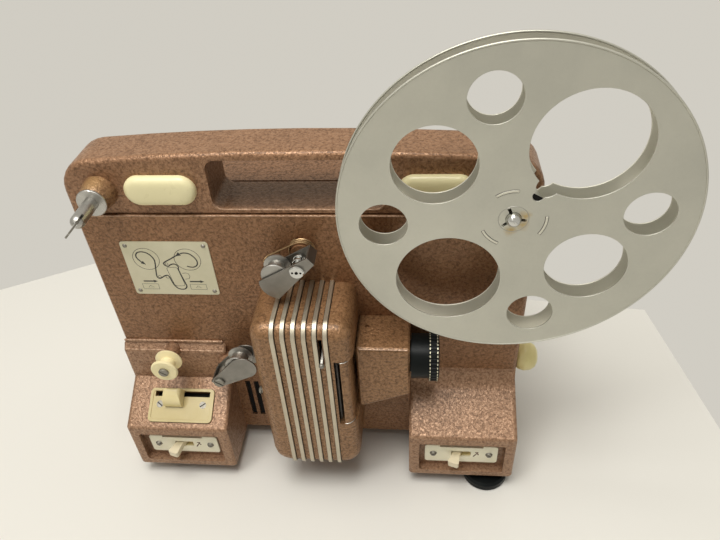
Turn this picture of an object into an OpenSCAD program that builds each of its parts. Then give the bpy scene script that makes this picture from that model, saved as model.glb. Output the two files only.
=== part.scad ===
// Eight millimetre film projector with one supply reel.
// X runs along the projected beam, the front faces minus Y, and Z is height above the table.

/* [Body] */
// Width of the upright housing
body_w = 266; // [256:1:280]
// Depth of the upright housing behind its front panel
slab_d = 30; // [28:0.5:34]
// Height of the upright housing
body_h = 234; // [230:1:240]
// Height of the housing above the table
floor_gap = 10; // [8:0.5:14]
// Drop of the crowned top from its middle to the corners
crown_drop = 4; // [2:0.5:6]
// Radius of the two top corners
corner_r = 20; // [16:1:24]
// Rounding of the housing's outer edges
edge_r = 3; // [2:0.5:3.5]
// Wall of the castings
wall = 3; // [2.5:0.25:3.5]
// Thickness of the raised front panel
panel_t = 1.5; // [1:0.25:2]
// Height of the raised front panel
panel_h = 195; // [192:1:196]
// Radius of the raised panel's top corners
panel_r = 8; // [5:1:12]

/* [Hand hole] */
// Length of the hand hole
hole_w = 97; // [88:1:100]
// Height of the hand hole
hole_h = 31; // [28:0.5:32]
// Thickness of the carrying bar over the hand hole
bar_t = 4.7; // [4.5:0.1:6]
// Corner radius of the hand hole
hole_r = 6; // [4:0.5:9]

/* [Rear housing] */
// Width of the rear housing
rear_w = 232; // [226:1:240]
// Depth of the rear housing
rear_d = 64; // [62:1:80]
// Height of the rear housing
rear_h = 198; // [190:1:200]
// Rounding of the rear housing
rear_r = 10; // [7:1:12]
// Wall of the rear housing
rear_wall = 2.5; // [2:0.25:3]

/* [Consoles] */
// Width of each control console
console_w = 71.5; // [68:0.5:73]
// Depth of the consoles in front of the panel
console_d = 35.3; // [34:0.1:38]
// Height of the consoles' front
console_h = 42.5; // [41:0.5:45]
// Slope of the consoles' top in degrees
console_slope = 31; // [28:1:33]
// Height of the ledge over the left console
ledge_h = 93; // [90:1:96]
// Depth of the ledge over the left console
ledge_d = 4.2; // [3.6:0.1:5]
// Rounding of the consoles' edges
console_r = 3; // [2:0.5:4]
// Width of the switch recess
recess_w = 57; // [54:0.5:60]
// Height of the switch recess
recess_h = 29; // [26:0.5:30]
// Depth of the switch recess
recess_d = 5.3; // [4.5:0.1:6]
// Radius of the cove over the right console
cove_r = 16; // [10:1:18]

/* [Controls] */
// Width of a switch plate
switch_w = 49; // [46:0.5:52]
// Height of a switch plate
switch_h = 17.5; // [17:0.25:20]
// Thickness of the cream plates
plate_t = 1; // [0.8:0.1:1.4]
// Reach of a switch lever from its pivot
toggle_reach = 19; // [16:0.5:22]
// Lean of a switch lever to each side in degrees
toggle_lean = 18; // [14:1:18]
// Width of the speed control plate
speed_w = 45; // [42:0.5:48]
// Height of the speed control plate
speed_h = 23; // [22:0.5:25]
// Length of the speed control slot
speed_slot = 39; // [36:0.5:40]
// Width of the speed knob
speed_knob_w = 12.5; // [10:0.5:14]
// Radius of the hand-turning knob
inching_r = 10; // [8:0.5:12]

/* [Spindles and reel] */
// Distance of the supply spindle from the housing's side
spindle_inset = 19.4; // [19:0.2:23]
// Distance of the take-up spindle from the housing's other side
takeup_inset = 21.5; // [20:0.1:23]
// Height of the spindles above the housing's bottom
spindle_h = 210.3; // [209:0.1:212]
// Radius of a spindle's barrel
spindle_r = 3.9; // [3.7:0.05:4]
// Radius of a spindle's flange
flange_r = 8.4; // [7.6:0.1:9]
// Radius of the rotating shafts
shaft_r = 3; // [2.5:0.1:3.2]
// Distance of the film's middle in front of the panel
film_gap = 16.5; // [16.25:0.25:17.5]
// Diameter of the reel
reel_d = 178; // [160:1:180]
// Width of the reel over its flanges
reel_w = 10.8; // [10.4:0.1:11.2]
// Gap left between the reel and its spindle's flange
reel_out = 3; // [0.4:0.2:4]
// Thickness of the reel's flanges
sheet_t = 0.8; // [0.7:0.05:1]
// Radius of the reel's hub
hub_r = 16; // [14:0.5:18]

/* [Lamp house] */
// Width of the lamp house
house_w = 59.5; // [58:0.5:61]
// Depth of the lamp house
house_d = 42.5; // [41:0.5:46]
// Height of the lamp house's bottom above the housing's bottom
house_low = 19; // [17:0.5:20]
// Height of the lamp house's top above the housing's bottom
house_high = 147; // [144:0.5:148]
// Rounding of the lamp house's front
house_r = 8; // [6:0.5:9]
// Number of cooling ribs
rib_count = 6; // [4:1:7]
// Distance between cooling ribs
rib_pitch = 6.1; // [5.8:0.05:6.2]
// Width of a cooling rib
rib_w = 2.5; // [2:0.1:2.8]
// Height of a cooling rib
rib_t = 1.3; // [1:0.1:1.6]
// Height of the optical axis above the housing's bottom
lens_h = 101.5; // [100:0.5:103]
// Radius of the lens tube
lens_r = 14; // [13:0.25:14.25]
// Radius of the lens's stem in its carrier
stem_r = 10; // [9:0.25:10.5]
// Width of the focus ring
ring_w = 5; // [4.5:0.5:6]

/* [Film path] */
// Radius of the guide roller's flanges
guide_r = 8.9; // [8:0.1:9.5]
// Radius of the levers' rollers
roller_r = 8; // [7:0.25:8.25]
// Radius of the levers' posts
post_r = 2.5; // [2:0.1:3]
// Thickness of the levers' plates
lever_t = 1; // [0.8:0.1:1.2]
// Wire radius of the upper lever's spring
wire_r = 0.5; // [0.4:0.05:0.55]
// Turns of the upper lever's spring
spring_turns = 3; // [2:1:3]

/* [Drive] */
// Height of the main shaft above the housing's bottom
shaft_h = 70; // [69:0.5:71]
// Radius of the shutter
shutter_r = 48; // [46:0.5:49]
// Radius of the motor
motor_r = 28; // [24:0.5:28]
// Radius of the elevating foot
foot_r = 15.5; // [13:0.5:17]

/* [Hidden] */
$fn = 64;

// Clearance of a running or sliding fit
run_fit = 0.05;
// Clearance between pieces that pass each other
pass_gap = 0.4;
// Clearance of a piece that drops into a pocket
drop_gap = 0.2;
// Overshoot that makes cuts clean
over = 0.1;

// Housing frame
half_w = body_w / 2;
z_low = floor_gap;
z_top = z_low + body_h;
band_y = panel_t;
slab_back = band_y + slab_d;
inner_y = band_y + wall;
corner_x = half_w - corner_r;
crown_r = (corner_x * corner_x + crown_drop * crown_drop) / (2 * crown_drop);
crown_z = z_top - crown_r;
corner_z = crown_z + sqrt(pow(crown_r - corner_r, 2) - corner_x * corner_x);
crown_a = asin(corner_x / (crown_r - corner_r));
hole_z = z_top - bar_t - hole_h / 2;
groove_w = 1;
groove_d = 1.2;
panel_top = z_low + panel_h;

// Rear housing frame
rear_gap = 2;
rear_screw_r = 3;
rear_y = slab_back + rear_gap;
rear_back = rear_y + rear_d;
rear_top = z_low + rear_h;
rear_floor = z_low + rear_wall + drop_gap;
rear_mid = (z_low + rear_top) / 2;
inlet_x = -rear_w / 2 + 28;
inlet_z = z_low + 40;
inlet_w = 28;
inlet_h = 18;
inlet_d = 18;
inlet_r = 4;
inlet_rim = 2.5;
vent_pitch = 11;
vent_w = 4;
vent_z = [z_low + 100, z_low + 160];
vent_x = [-53, -47];
foot_top = 8;
foot_low = 7.5;

// Console frame: the slope starts at the face under the ledge
front_y = -console_d;
front_z = z_low + console_h;
slope_y = -ledge_d;
slope_z = front_z + (console_d - ledge_d) * tan(console_slope);
ledge_z = z_low + ledge_h;
console_x = half_w - console_w / 2;
recess_y = front_y + recess_d;
recess_z = z_low + 6.8 + recess_h / 2;
switch_z = z_low + 20.3;
toggle_y = recess_y + 8;
toggle_t = 4.4;
toggle_slot = 13.2;
toggle_gap = 0.6;
pin_r = 1.2;
arch_w = 29;
arch_h = 4;
arch_t = 1.2;
switch_body = [20, 18, 16];
speed_x = -half_w + 37.8;
bead_r = 1.3;
speed_s = 8.4;
slot_s = speed_s + 3.8;
slot_t = 3.6;
slot_d = 8;
speed_r = 3;
speed_rim = 1.8;
speed_rim_h = 0.45;
speed_lift = 0.8;
speed_knob_t = 11.5;
speed_knob_h = 10;
speed_stem = 3;
screw_r = 2.4;
flush_t = 0.25;
speed_knob_x = speed_x - 4.8;
speed_screw_s = speed_s + 11;

// Spindles and film plane
spindle_x = half_w - spindle_inset;
takeup_x = half_w - takeup_inset;
takeup_turn = 45;
spindle_z = z_low + spindle_h;
film_y = -film_gap;
seat_y = film_y + reel_w / 2;
reel_back = seat_y - reel_out;
reel_front = reel_back - reel_w;
reel_r = reel_d / 2;
reel_turn = 52;
bite_r = 2.8;
bite_at = reel_r * 0.19;
flange_t = 1.6;
pill_x = half_w - 57;
pill_z = spindle_z + 1.3;
pill_w = 41;
pill_h = 18;
pill_r = 4.5;
pill_t = 5.2;
boss_r = 10;
bush_r = 7;
bush_l = 16;
boss_y = seat_y + flange_t + pass_gap;
tip_y = film_y - 15.5;
latch_y = tip_y + 3;
latch_t = 1;
latch_len = 14;
latch_w = 4.4;
latch_slot = 3.4;
latch_pin_r = 0.8;
pulley_y = slab_back - 7.5;
pulley_w = 6;
pulley_rim = 2;
takeup_pulley_r = 11;
main_pulley_r = 10;
motor_pulley_r = 6.5;
lay_pulley_r = 9;
belt_lift = pass_gap - pulley_rim;
belt_w = 1.6;
belt_t = 1.2;

// Lamp house frame
house_x0 = -house_w / 2;
house_x1 = house_w / 2;
house_z0 = z_low + house_low;
house_z1 = z_low + house_high;
lens_z = z_low + lens_h;
house_wall = 3.5;
house_foot_r = 12;
cavity_x1 = house_x1 - 16.8;
notch_x = house_x1 - 11.2;
notch_z0 = z_low + 64.5;
notch_z1 = z_low + 121.5;
notch_y = -6;
gate_x = notch_x + drop_gap;
gate_t = 1.2;
film_slit = 1.9;
press_x = gate_x + gate_t + film_slit;
press_w = 6.1;
press_gap = 0.4;
aperture = [4.6, 3.4];
framing_x = rib_pitch * 2 - 0.2;
framing_z = house_z1 - 16.5;
framing_y = -25;
framing_lean = 24;
framing_reach = house_d + framing_y + 4.5;
framing_ball = 1.7;
framing_slot = 9.5;
framing_pin_r = 1.2;
framing_t = 1.2;

// Lens frame
side_screw = [-33, house_z0 + 65.5];
carrier_w = 33;
carrier_d = 30;
carrier_top = z_low + 120;
carrier_low = z_low + 66;
carrier_rise = 12;
carrier_r = 3;
carrier_x = house_x1 + carrier_w;
tube_x = carrier_x + pass_gap;
ring_x = tube_x + 11;
tube_len = ring_w + 12;
lens_bore = 8;
ring_t = 1.5;
stem_len = carrier_w - 8;
lamp_x = -12;
lamp_d = 11;
socket_w = 20;
condenser_r = 12;
lamp_base = 6;

// Film levers: pivot, lean of the arm and its length
lever_front = film_y - 6.5;
lever_back = film_y + 6.5;
upper_x = 0;
upper_z = z_low + 173.7;
upper_a = 219;
upper_fold = 10.8;
upper_end = 22.5;
upper_w = [5.8, 16.3];
upper_bulge = 3.3;
upper_pin = [13.5, -4.6];
lower_end = [22.5, 2.3];
lower_r = [4.5, 8.7];
lower_gap = 1.35;
// The lower pivot stands on the console's end, and its lever always swings clear of the lamp house
lower_x = min(-half_w + console_w - 0.8, house_x0 - lower_end[0] - lower_r[1] - lower_gap);
lower_z = z_low + 79;
lower_a = 31;
lower_pin = [19, 4.5];
lever_pin_r = 1.5;
post_boss_r = 5;
spring_boss_r = 6;
spring_boss_l = 7.5;
spring_r = spring_boss_r + wire_r + 0.7;
spring_pitch = 1.6;
spring_y = -1.2;
spring_end_a = 118;
spring_tail = 20;
spring_steps = 8;
spring_sides = 6;
guide_x = -half_w + 35;
guide_back = lever_back - 1.5;
plate_w = 54;
plate_h = 41;
print_t = 0.6;
plate_x = -half_w + 49.5;
plate_z = z_low + 156.2;
guide_z = ledge_z - 5.5;

// Drive frame
shaft_y = 15;
shaft_out = 12;
bracket_t = 6;
bracket_w = 18;
shaft_z = z_low + shaft_h;
shutter_x = cavity_x1 - 2.4;
shutter_t = 1.4;
shutter_hub = 20;
worm_x = -40;
worm_r = 6;
wheel_r = 12;
wheel_t = 5;
lay_z = shaft_z + worm_r + wheel_r + pass_gap;
lay_r = 2.5;
lay_boss_y = shaft_y - wheel_t / 2 - pass_gap;
motor_y = slab_back + 33;
motor_z = z_low + 45;
motor_x0 = -58;
motor_len = 60;
fan_w = 14;
fan_hub = 8;
core_x = rear_w / 2 - 43;
core = [54, 40, 44];
coil = [42, 52, 28];
core_y = slab_back + 34;
belt_x = -66;
bracket_x = belt_x - 10;
elevate_x = half_w - 17.5;
elevate_y = -24;
elevate_stem = 3;
elevate_len = 30;

// The origin sits on the table under the middle of the whole object
middle_x = (spindle_x + reel_d / 2 - half_w) / 2;
last_y = rear_back + rear_screw_r / 2;
middle_y = (last_y + framing_y - framing_reach * cos(framing_lean) - framing_ball) / 2;
module placed() translate([-middle_x, -middle_y, 0]) children();

// Points along an arc
function arc(x, y, r, a0, a1, n) = [for (k = [0:n]) let (a = a0 + (a1 - a0) * k / n)
    [x + r * cos(a), y + r * sin(a)]];

// Outline of the upright housing, drawn in by an inset
function slab_pts(i) = concat(
    [[-half_w + i, z_low + i], [half_w - i, z_low + i]],
    arc(corner_x, corner_z, corner_r - i, 0, 90 - crown_a, 7),
    [for (k = [1:7]) let (a = crown_a * (1 - k / 4), r = crown_r - i) [r * sin(a), crown_z + r * cos(a)]],
    arc(-corner_x, corner_z, corner_r - i, 90 + crown_a, 180, 7));

// Rounded rectangle with its own radii above and below, drawn in by an inset
function box_pts(x0, x1, z0, z1, rt, rb, i) = concat(
    arc(x0 + rb, z0 + rb, rb - i, 180, 270, 5), arc(x1 - rb, z0 + rb, rb - i, 270, 360, 5),
    arc(x1 - rt, z1 - rt, rt - i, 0, 90, 5), arc(x0 + rt, z1 - rt, rt - i, 90, 180, 5));

module along_y(y0, y1) translate([0, y1, 0]) rotate([90, 0, 0]) linear_extrude(y1 - y0) children();
module along_x(x0, x1) translate([x0, 0, 0]) rotate([90, 0, 90]) linear_extrude(x1 - x0) children();
module along_z(z0, z1) translate([0, 0, z0]) linear_extrude(z1 - z0) children();
module rod_y(x, z, r, y0, y1) translate([x, y1, z]) rotate([90, 0, 0]) cylinder(r = r, h = y1 - y0);
module rod_x(y, z, r, x0, x1) translate([x0, y, z]) rotate([0, 90, 0]) cylinder(r = r, h = x1 - x0);

// Turned pieces: the profile holds radius and distance towards the viewer, or along the beam
module turned_y(x, z, y0, profile) translate([x, y0, z]) rotate([90, 0, 0]) rotate_extrude() polygon(profile);
module turned_x(x0, y, z, profile) translate([x0, y, z]) rotate([0, 90, 0]) rotate_extrude() polygon(profile);

module turned_z(x, y, z, profile) translate([x, y, z]) rotate_extrude() polygon(profile);

module box(x0, x1, y0, y1, z0, z1) translate([x0, y0, z0]) cube([x1 - x0, y1 - y0, z1 - z0]);

module round_rect(w, h, r) {
    square([w - 2 * r, h], center = true);
    square([w, h - 2 * r], center = true);
    for (x = [-1, 1], y = [-1, 1]) translate([x * (w / 2 - r), y * (h / 2 - r)]) circle(r);
}

module capsule(w, h) round_rect(w, h, h / 2 - 0.001);

// Soft block along X: rods round the section's points, shorter as they get fatter
module soft_block(x0, x1, r, section) hull() for (a = [0, 30, 60], p = section)
    rod_x(p[0], p[1], r * cos(a), x0 + r - r * sin(a), x1 - r + r * sin(a), $fn = 24);

// Local frame of the left console's sloping top, Z out of the surface and Y up the slope
module on_slope() translate([0, slope_y, slope_z]) rotate([console_slope, 0, 0]) children();

module at_sides() for (s = [-1, 1]) translate([s * console_x, 0, 0]) children();

// Upright housing
module slab_solid() {
    steps = 3;
    hull() for (k = [0:steps]) {
        a = 90 * k / steps;
        d = edge_r * (1 - sin(a));
        along_y(band_y + d, slab_back - d) polygon(slab_pts(edge_r * (1 - cos(a))));
    }
}

module hand_hole(grow) translate([0, hole_z]) round_rect(hole_w + 2 * grow, hole_h + 2 * grow, hole_r + grow);

module vent_slots(y0, y1) for (x = vent_x)
    box(x - 1.25, x + 1.25, y0, y1, z_low + 17, z_low + 53);

// Face of the raised panel, grown by a gap
module panel_face(g) {
    w = body_w - 2 * edge_r;
    translate([-w / 2 - g, z_low + edge_r]) square([w + 2 * g, panel_h - edge_r - panel_r]);
    translate([-w / 2 + panel_r, z_low + edge_r]) square([w - 2 * panel_r, panel_h - edge_r + g]);
    for (s = [-1, 1]) translate([s * (w / 2 - panel_r), panel_top - panel_r]) circle(panel_r + g);
}

// Groove round the top of the panel
module panel_groove() along_y(band_y - 1, band_y + groove_d) difference() {
    panel_face(groove_w);
    panel_face(0);
    translate([-body_w, 0]) square([2 * body_w, panel_top - panel_r]);
}

module shutter_slot(y0, y1) box(shutter_x - 1.2, shutter_x + shutter_t + 1.2, y0, y1,
    shaft_z - shutter_r - 1.5, shaft_z + shutter_r + 1.5);

module front_slab() color("#8a5a49") difference() {
    union() {
        difference() {
            slab_solid();
            difference() {
                along_y(inner_y, slab_back + over) polygon(slab_pts(wall));
                along_y(band_y, slab_back + 1) hand_hole(wall);
            }
        }
        rod_y(worm_x, lay_z, lay_r + wall, inner_y - over, lay_boss_y);
    }
    along_y(band_y - 1, slab_back + 1) hand_hole(0);
    for (x = [-takeup_x, spindle_x]) rod_y(x, spindle_z, bush_r, band_y - 1, inner_y + 1);
    panel_groove();
    rod_y(worm_x, lay_z, lay_r + run_fit, inner_y, lay_boss_y + 1);
    rod_x(shaft_y, shaft_z, shaft_r + run_fit, half_w - wall - 1, half_w + 1);
    vent_slots(band_y - 1, inner_y + 1);
    shutter_slot(band_y - 1, inner_y + 1);
}

module back_cover() color("#5e5048") difference() {
    along_y(slab_back - 2, slab_back) polygon(slab_pts(wall + drop_gap));
    along_y(slab_back - 3, slab_back + 1) hand_hole(wall + drop_gap);
    box(-rear_w / 2 + 12, rear_w / 2 - 12, slab_back - 3, slab_back + 1, z_low + 12, rear_top - 14);
}

// Raised panel with the painted boss that carries the upper lever
module front_panel() color("#8e5d4b") difference() {
    union() {
        along_y(0, band_y) difference() {
            panel_face(0);
            translate([upper_x, upper_z]) circle(post_r);
        }
        difference() {
            rod_y(upper_x, upper_z, spring_boss_r, -spring_boss_l, 0);
            rod_y(upper_x, upper_z, post_r, -spring_boss_l - 1, 1);
        }
    }
    vent_slots(-1, band_y + 1);
    shutter_slot(-1, band_y + 1);
}

// Section of a console: its slope runs on behind the panel, where it is cut off
function wedge_section() = let (r = console_r, b = r,
        zf = front_z + r * tan(console_slope) - r / cos(console_slope))
    [[front_y + r, z_low + r], [b, z_low + r], [front_y + r, zf],
     [b, zf + (b - front_y - r) * tan(console_slope)]];

module switch_pocket() {
    translate([0, 0, recess_z]) along_y(front_y - 1, recess_y) round_rect(recess_w, recess_h, 2);
    b = switch_body + [2 * drop_gap, 0, 2 * drop_gap];
    translate([-b[0] / 2, recess_y - over, switch_z - b[2] / 2]) cube(b + [0, drop_gap, 0]);
}

module behind_panel() box(-half_w - 5, half_w + 5, 0, slab_back, 0, z_top);

module left_console() color("#8a5a49") difference() {
    x0 = -half_w;
    x1 = x0 + console_w;
    r = 2;
    union() {
        soft_block(x0, x1, console_r, wedge_section());
        soft_block(x0, x1, r, [[slope_y + r, slope_z - 12], [r, slope_z - 12],
            [slope_y + r, ledge_z - 5 - r], [r, ledge_z - r]]);
        rod_x(0, ledge_z, bead_r, x0 + 2, x1 - 2);
        rod_y(guide_x, guide_z, post_boss_r, guide_back + drop_gap, 0);
        rod_y(lower_x, lower_z, post_boss_r, lever_back + drop_gap, 0);
    }
    behind_panel();
    translate([-console_x, 0, 0]) switch_pocket();
    rod_y(guide_x, guide_z, post_r, -20, 1);
    rod_y(lower_x, lower_z, post_r, -20, 1);
    on_slope() translate([speed_x, -slot_s, -slot_d]) linear_extrude(2 * slot_d)
        square([speed_slot, slot_t], center = true);
}

module right_console() color("#8a5a49") difference() {
    x1 = half_w;
    x0 = x1 - console_w;
    c = console_slope;
    // Height at which the slope would meet the panel, and the cove's reach from there
    top_z = front_z + console_d * tan(c);
    reach = cove_r * tan((90 - c) / 2);
    union() {
        soft_block(x0, x1, console_r, wedge_section());
        along_x(x0 + 1, x1 - 1) difference() {
            polygon([[0, top_z - 1], [0, top_z + reach], [-reach * cos(c), top_z - reach * sin(c) - over],
                [-reach * cos(c), top_z - reach * sin(c) - 1]]);
            translate([-cove_r, top_z + reach]) circle(cove_r);
        }
    }
    behind_panel();
    translate([console_x, 0, 0]) switch_pocket();
    translate([elevate_x, elevate_y, z_low - 1]) cylinder(r = elevate_stem + run_fit, h = elevate_len + 6);
}

module rear_block(r) {
    inset = rear_r;
    hull() for (x = [-1, 1], z = [z_low + inset, rear_top - inset]) {
        translate([x * (rear_w / 2 - inset), rear_back - inset, z]) sphere(r, $fn = 24);
        translate([x * (rear_w / 2 - inset), rear_y - inset, z]) sphere(r, $fn = 24);
    }
}

module rear_housing() color("#7d5244") difference() {
    union() {
        difference() {
            rear_block(rear_r);
            rear_block(rear_r - rear_wall);
            box(-rear_w, rear_w, 0, rear_y, 0, z_top);
        }
        difference() {
            translate([0, 0, rear_mid]) along_y(slab_back, rear_y + 1)
                round_rect(rear_w - 2 * rear_wall, rear_h - 2 * rear_wall, rear_r - rear_wall);
            translate([0, 0, rear_mid]) along_y(slab_back - 1, rear_y + 2)
                round_rect(rear_w - 4 * rear_wall, rear_h - 4 * rear_wall, rear_r - 2 * rear_wall);
        }
    }
    for (k = [-5:5]) translate([k * vent_pitch, 0, 0])
        box(-vent_w / 2, vent_w / 2, rear_back - rear_wall - 1, rear_back + 1, vent_z[0], vent_z[1]);
    inlet_cut(drop_gap);
}

// Recessed two-pin inlet in the back wall
module inlet_shape(y0, y1, g) translate([inlet_x, 0, inlet_z]) along_y(y0, y1)
    round_rect(inlet_w + 2 * g, inlet_h + 2 * g, inlet_r);
module inlet_cut(g) inlet_shape(rear_back - rear_wall - 1, rear_back + 1, g);

module mains_inlet() color("#1c1b1a") {
    difference() {
        inlet_shape(rear_back - inlet_d, rear_back, 0);
        inlet_shape(rear_back - inlet_d + 3, rear_back + 1, -inlet_rim);
    }
    difference() {
        inlet_shape(rear_back - rear_wall - 1.6, rear_back - rear_wall - drop_gap, 3);
        inlet_shape(rear_back - inlet_d, rear_back + 1, -0.5);
    }
    for (s = [-1, 1]) rod_y(inlet_x + s * 5, inlet_z, 2, rear_back - inlet_d + 2.5, rear_back - 4);
}

// Rubber feet: two under the rear housing and one under the left console
module rubber_foot(x, y) translate([x, y, 0]) rotate_extrude()
    polygon([[0, 0], [foot_low, 0], [foot_top + 1, 1.5], [foot_top, z_low], [0, z_low]]);
module feet() color("#1d1c1b") {
    for (s = [-1, 1]) rubber_foot(s * (rear_w / 2 - 22), rear_back - 24);
    rubber_foot(-half_w + 21, -16);
}

// Domed caps with a small notch below
module control_pills() color("#e8dcae") for (x = [-pill_x, pill_x]) difference() {
    steps = 4;
    translate([x, 0, pill_z]) hull() for (k = [0:steps]) {
        a = 90 * k / steps;
        along_y(band_y - pill_t + pill_r * (1 - sin(a)), band_y) polygon(box_pts(-pill_w / 2, pill_w / 2,
            -pill_h / 2, pill_h / 2, pill_h / 2, pill_h / 2, pill_r * (1 - cos(a))));
    }
    box(x - 6.5, x + 6.5, -10, 10, pill_z - pill_h, pill_z - pill_h / 2 + 0.8);
}

// Painted bosses that carry the two spindles
module spindle_bosses() color("#9a6a45") for (x = [-takeup_x, spindle_x]) difference() {
    d = band_y - boss_y;
    turned_y(x, spindle_z, band_y, [[0, -bush_l], [bush_r, -bush_l], [bush_r, 0], [boss_r, 0],
        [boss_r - 0.6, d * 0.4], [boss_r - 1.6, d * 0.8], [boss_r - 2.6, d], [0, d]]);
    rod_y(x, spindle_z, shaft_r + run_fit, boss_y - 1, slab_back);
}

module thread_plate() color("#d9d3bd") translate([plate_x, 0, plate_z]) along_y(-print_t, 0)
    round_rect(plate_w, plate_h, 2);

// Plate of the speed control with a raised rim round it
module speed_plate() color("#e8dcae") on_slope() difference() {
    translate([speed_x, -speed_s - speed_h / 2, 0]) difference() {
        linear_extrude(plate_t + speed_rim_h) round_rect(speed_w, speed_h, speed_r);
        translate([0, 0, plate_t]) linear_extrude(plate_t)
            round_rect(speed_w - 2 * speed_rim, speed_h - 2 * speed_rim, speed_r - 1);
    }
    translate([speed_x, -slot_s, -1]) linear_extrude(slot_d) square([speed_slot, slot_t], center = true);
}

// Switch plates with an arched pad along the top edge
module switch_plates() color("#e8dcae") at_sides() difference() {
    arch_r = (arch_w * arch_w / 4 + arch_h * arch_h) / (2 * arch_h);
    translate([0, 0, switch_z]) union() {
        along_y(recess_y - plate_t, recess_y) round_rect(switch_w, switch_h, 2);
        along_y(recess_y - plate_t - arch_t, recess_y) intersection() {
            translate([0, switch_h / 2 - arch_h + arch_r]) circle(arch_r);
            square([switch_w, switch_h], center = true);
        }
    }
    translate([0, 0, switch_z]) along_y(recess_y - 3, recess_y + 1)
        round_rect(toggle_slot, toggle_t + 2 * toggle_gap, 1);
}

module screw_head(r) difference() {
    cylinder(r1 = r, r2 = r * 0.7, h = r * 0.5);
    translate([-r, -r * 0.14, r * 0.25]) cube([2 * r, r * 0.28, r]);
}

module flush_screw(r) difference() {
    cylinder(r = r, h = flush_t);
    translate([-r - 1, -r * 0.14, flush_t * 0.3]) cube([2 * r + 2, r * 0.28, 1]);
}

// Plate screws, rivets, the lamp house's side screw and the rear housing's screws
module small_fasteners() color("#b9b6ad") {
    at_sides() for (s = [-1, 1]) translate([s * 18.8, recess_y - plate_t, switch_z])
        rotate([90, 25 * s, 0]) screw_head(screw_r);
    on_slope() for (s = [-1, 1]) translate([speed_x + s * 15.2, -speed_screw_s, plate_t])
        rotate(35 * s) flush_screw(screw_r);
    for (x = [-1, 1], z = [-1, 1])
        turned_y(plate_x + x * (plate_w / 2 - 3), plate_z + z * (plate_h / 2 - 3), -print_t,
            [[0, 0], [1.4, 0], [1, 0.6], [0, 0.8]]);
    translate([house_x0, side_screw[0], side_screw[1]]) rotate([0, -90, 0]) rotate(50) {
        cylinder(r = 2, h = 1.2);
        translate([0, 0, 1.2]) screw_head(3);
    }
    for (x = [-1, 1], z = [-1, 1])
        translate([x * (rear_w / 2 - 18), rear_back, rear_mid + z * (rear_h / 2 - 18)])
            rotate([-90, 30 * x, 0]) screw_head(rear_screw_r);
}

// Switch bodies with bearings for the levers' pins
module switch_bodies() color("#2a2826") at_sides() difference() {
    b = switch_body;
    translate([-b[0] / 2, recess_y, switch_z - b[2] / 2]) cube(b);
    translate([0, 0, switch_z - toggle_t / 2 - toggle_gap]) linear_extrude(toggle_t + 2 * toggle_gap) {
        translate([0, toggle_y]) circle(4.3);
        polygon([[-4.2, toggle_y], [4.2, toggle_y], [8, recess_y - 1], [-8, recess_y - 1]]);
    }
    translate([0, toggle_y, switch_z - 6.5]) cylinder(r = pin_r + run_fit, h = 13);
}

// Switch lever, leaning to the left as it rests
module toggle(x) color("#e8dcae") translate([x, toggle_y, switch_z]) rotate(-toggle_lean) {
    translate([0, 0, -toggle_t / 2]) linear_extrude(toggle_t) {
        circle(3.4);
        polygon([[-2.4, 0], [2.4, 0], [2.6, -toggle_reach * 0.6], [3.7, -toggle_reach + 1.2],
            [2.9, -toggle_reach], [-2.9, -toggle_reach], [-3.7, -toggle_reach + 1.2],
            [-2.6, -toggle_reach * 0.6]]);
    }
    translate([0, 0, -6]) cylinder(r = pin_r, h = 12);
}
module motor_toggle() toggle(-console_x);
module lamp_toggle() toggle(console_x);

// Speed knob: an arched saddle that leans down the slope, with a stem in the slot
module speed_knob() color("#e8dcae") on_slope() translate([speed_knob_x, -slot_s, 0]) {
    w = speed_knob_w / 2;
    h = speed_knob_h;
    t = speed_knob_t;
    translate([0, 2.5, plate_t + speed_lift]) intersection() {
        rotate([90, 0, 0]) linear_extrude(t) polygon(concat([[-w, 0], [w, 0]],
            arc(w - 3, h - 3, 3, 0, 90, 6), arc(-w + 3, h - 3, 3, 90, 180, 6)));
        rotate([90, 0, -90]) translate([0, 0, -w]) linear_extrude(2 * w)
            polygon(concat([[0, 0]], arc(1.5, h - 1.5, 1.5, 180, 90, 4), arc(t - h, 0, h, 80, 0, 8)));
    }
    translate([-speed_stem / 2, -slot_t / 2 + run_fit, -5]) cube([speed_stem, slot_t - 2 * run_fit, 7]);
}

// Lamp house with rounded front, open notch for the film gate, a slot and a pivot for the framing lever
module lamphouse_cover() color("#8a5a49") {
    difference() {
        steps = 4;
        hull() for (k = [0:steps]) {
            a = 90 * k / steps;
            inset = house_r * (1 - cos(a));
            along_y(-house_d + house_r * (1 - sin(a)), 0)
                polygon(box_pts(house_x0, house_x1, house_z0, house_z1, house_r + 0.5, house_foot_r, inset));
        }
        box(house_x0 + house_wall, cavity_x1, -house_d + house_wall, 1,
            house_z0 + house_wall, house_z1 - house_wall);
        box(notch_x, house_x1 + 1, -house_d - 1, notch_y, notch_z0, notch_z1);
        rod_x(film_y, lens_z, lens_bore, cavity_x1 - 1, notch_x + 1);
        box(framing_x - 1.2, framing_x + 1.2, -house_d - 1, -house_d + house_wall + 1,
            framing_z - framing_slot, framing_z + framing_slot);
    }
    rod_x(framing_y, framing_z, framing_pin_r, framing_x - 2, cavity_x1 + 1);
}

// Side view of the lamp house, grown by the height of the ribs
module house_side(g) {
    y0 = -house_d - g;
    polygon(concat([[0, house_z0 - g], [0, house_z1 + g]],
        arc(y0 + house_r + g, house_z1 - house_r, house_r + g, 90, 180, 12),
        arc(y0 + house_r + g, house_z0 + house_r, house_r + g, 180, 270, 12)));
}

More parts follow.
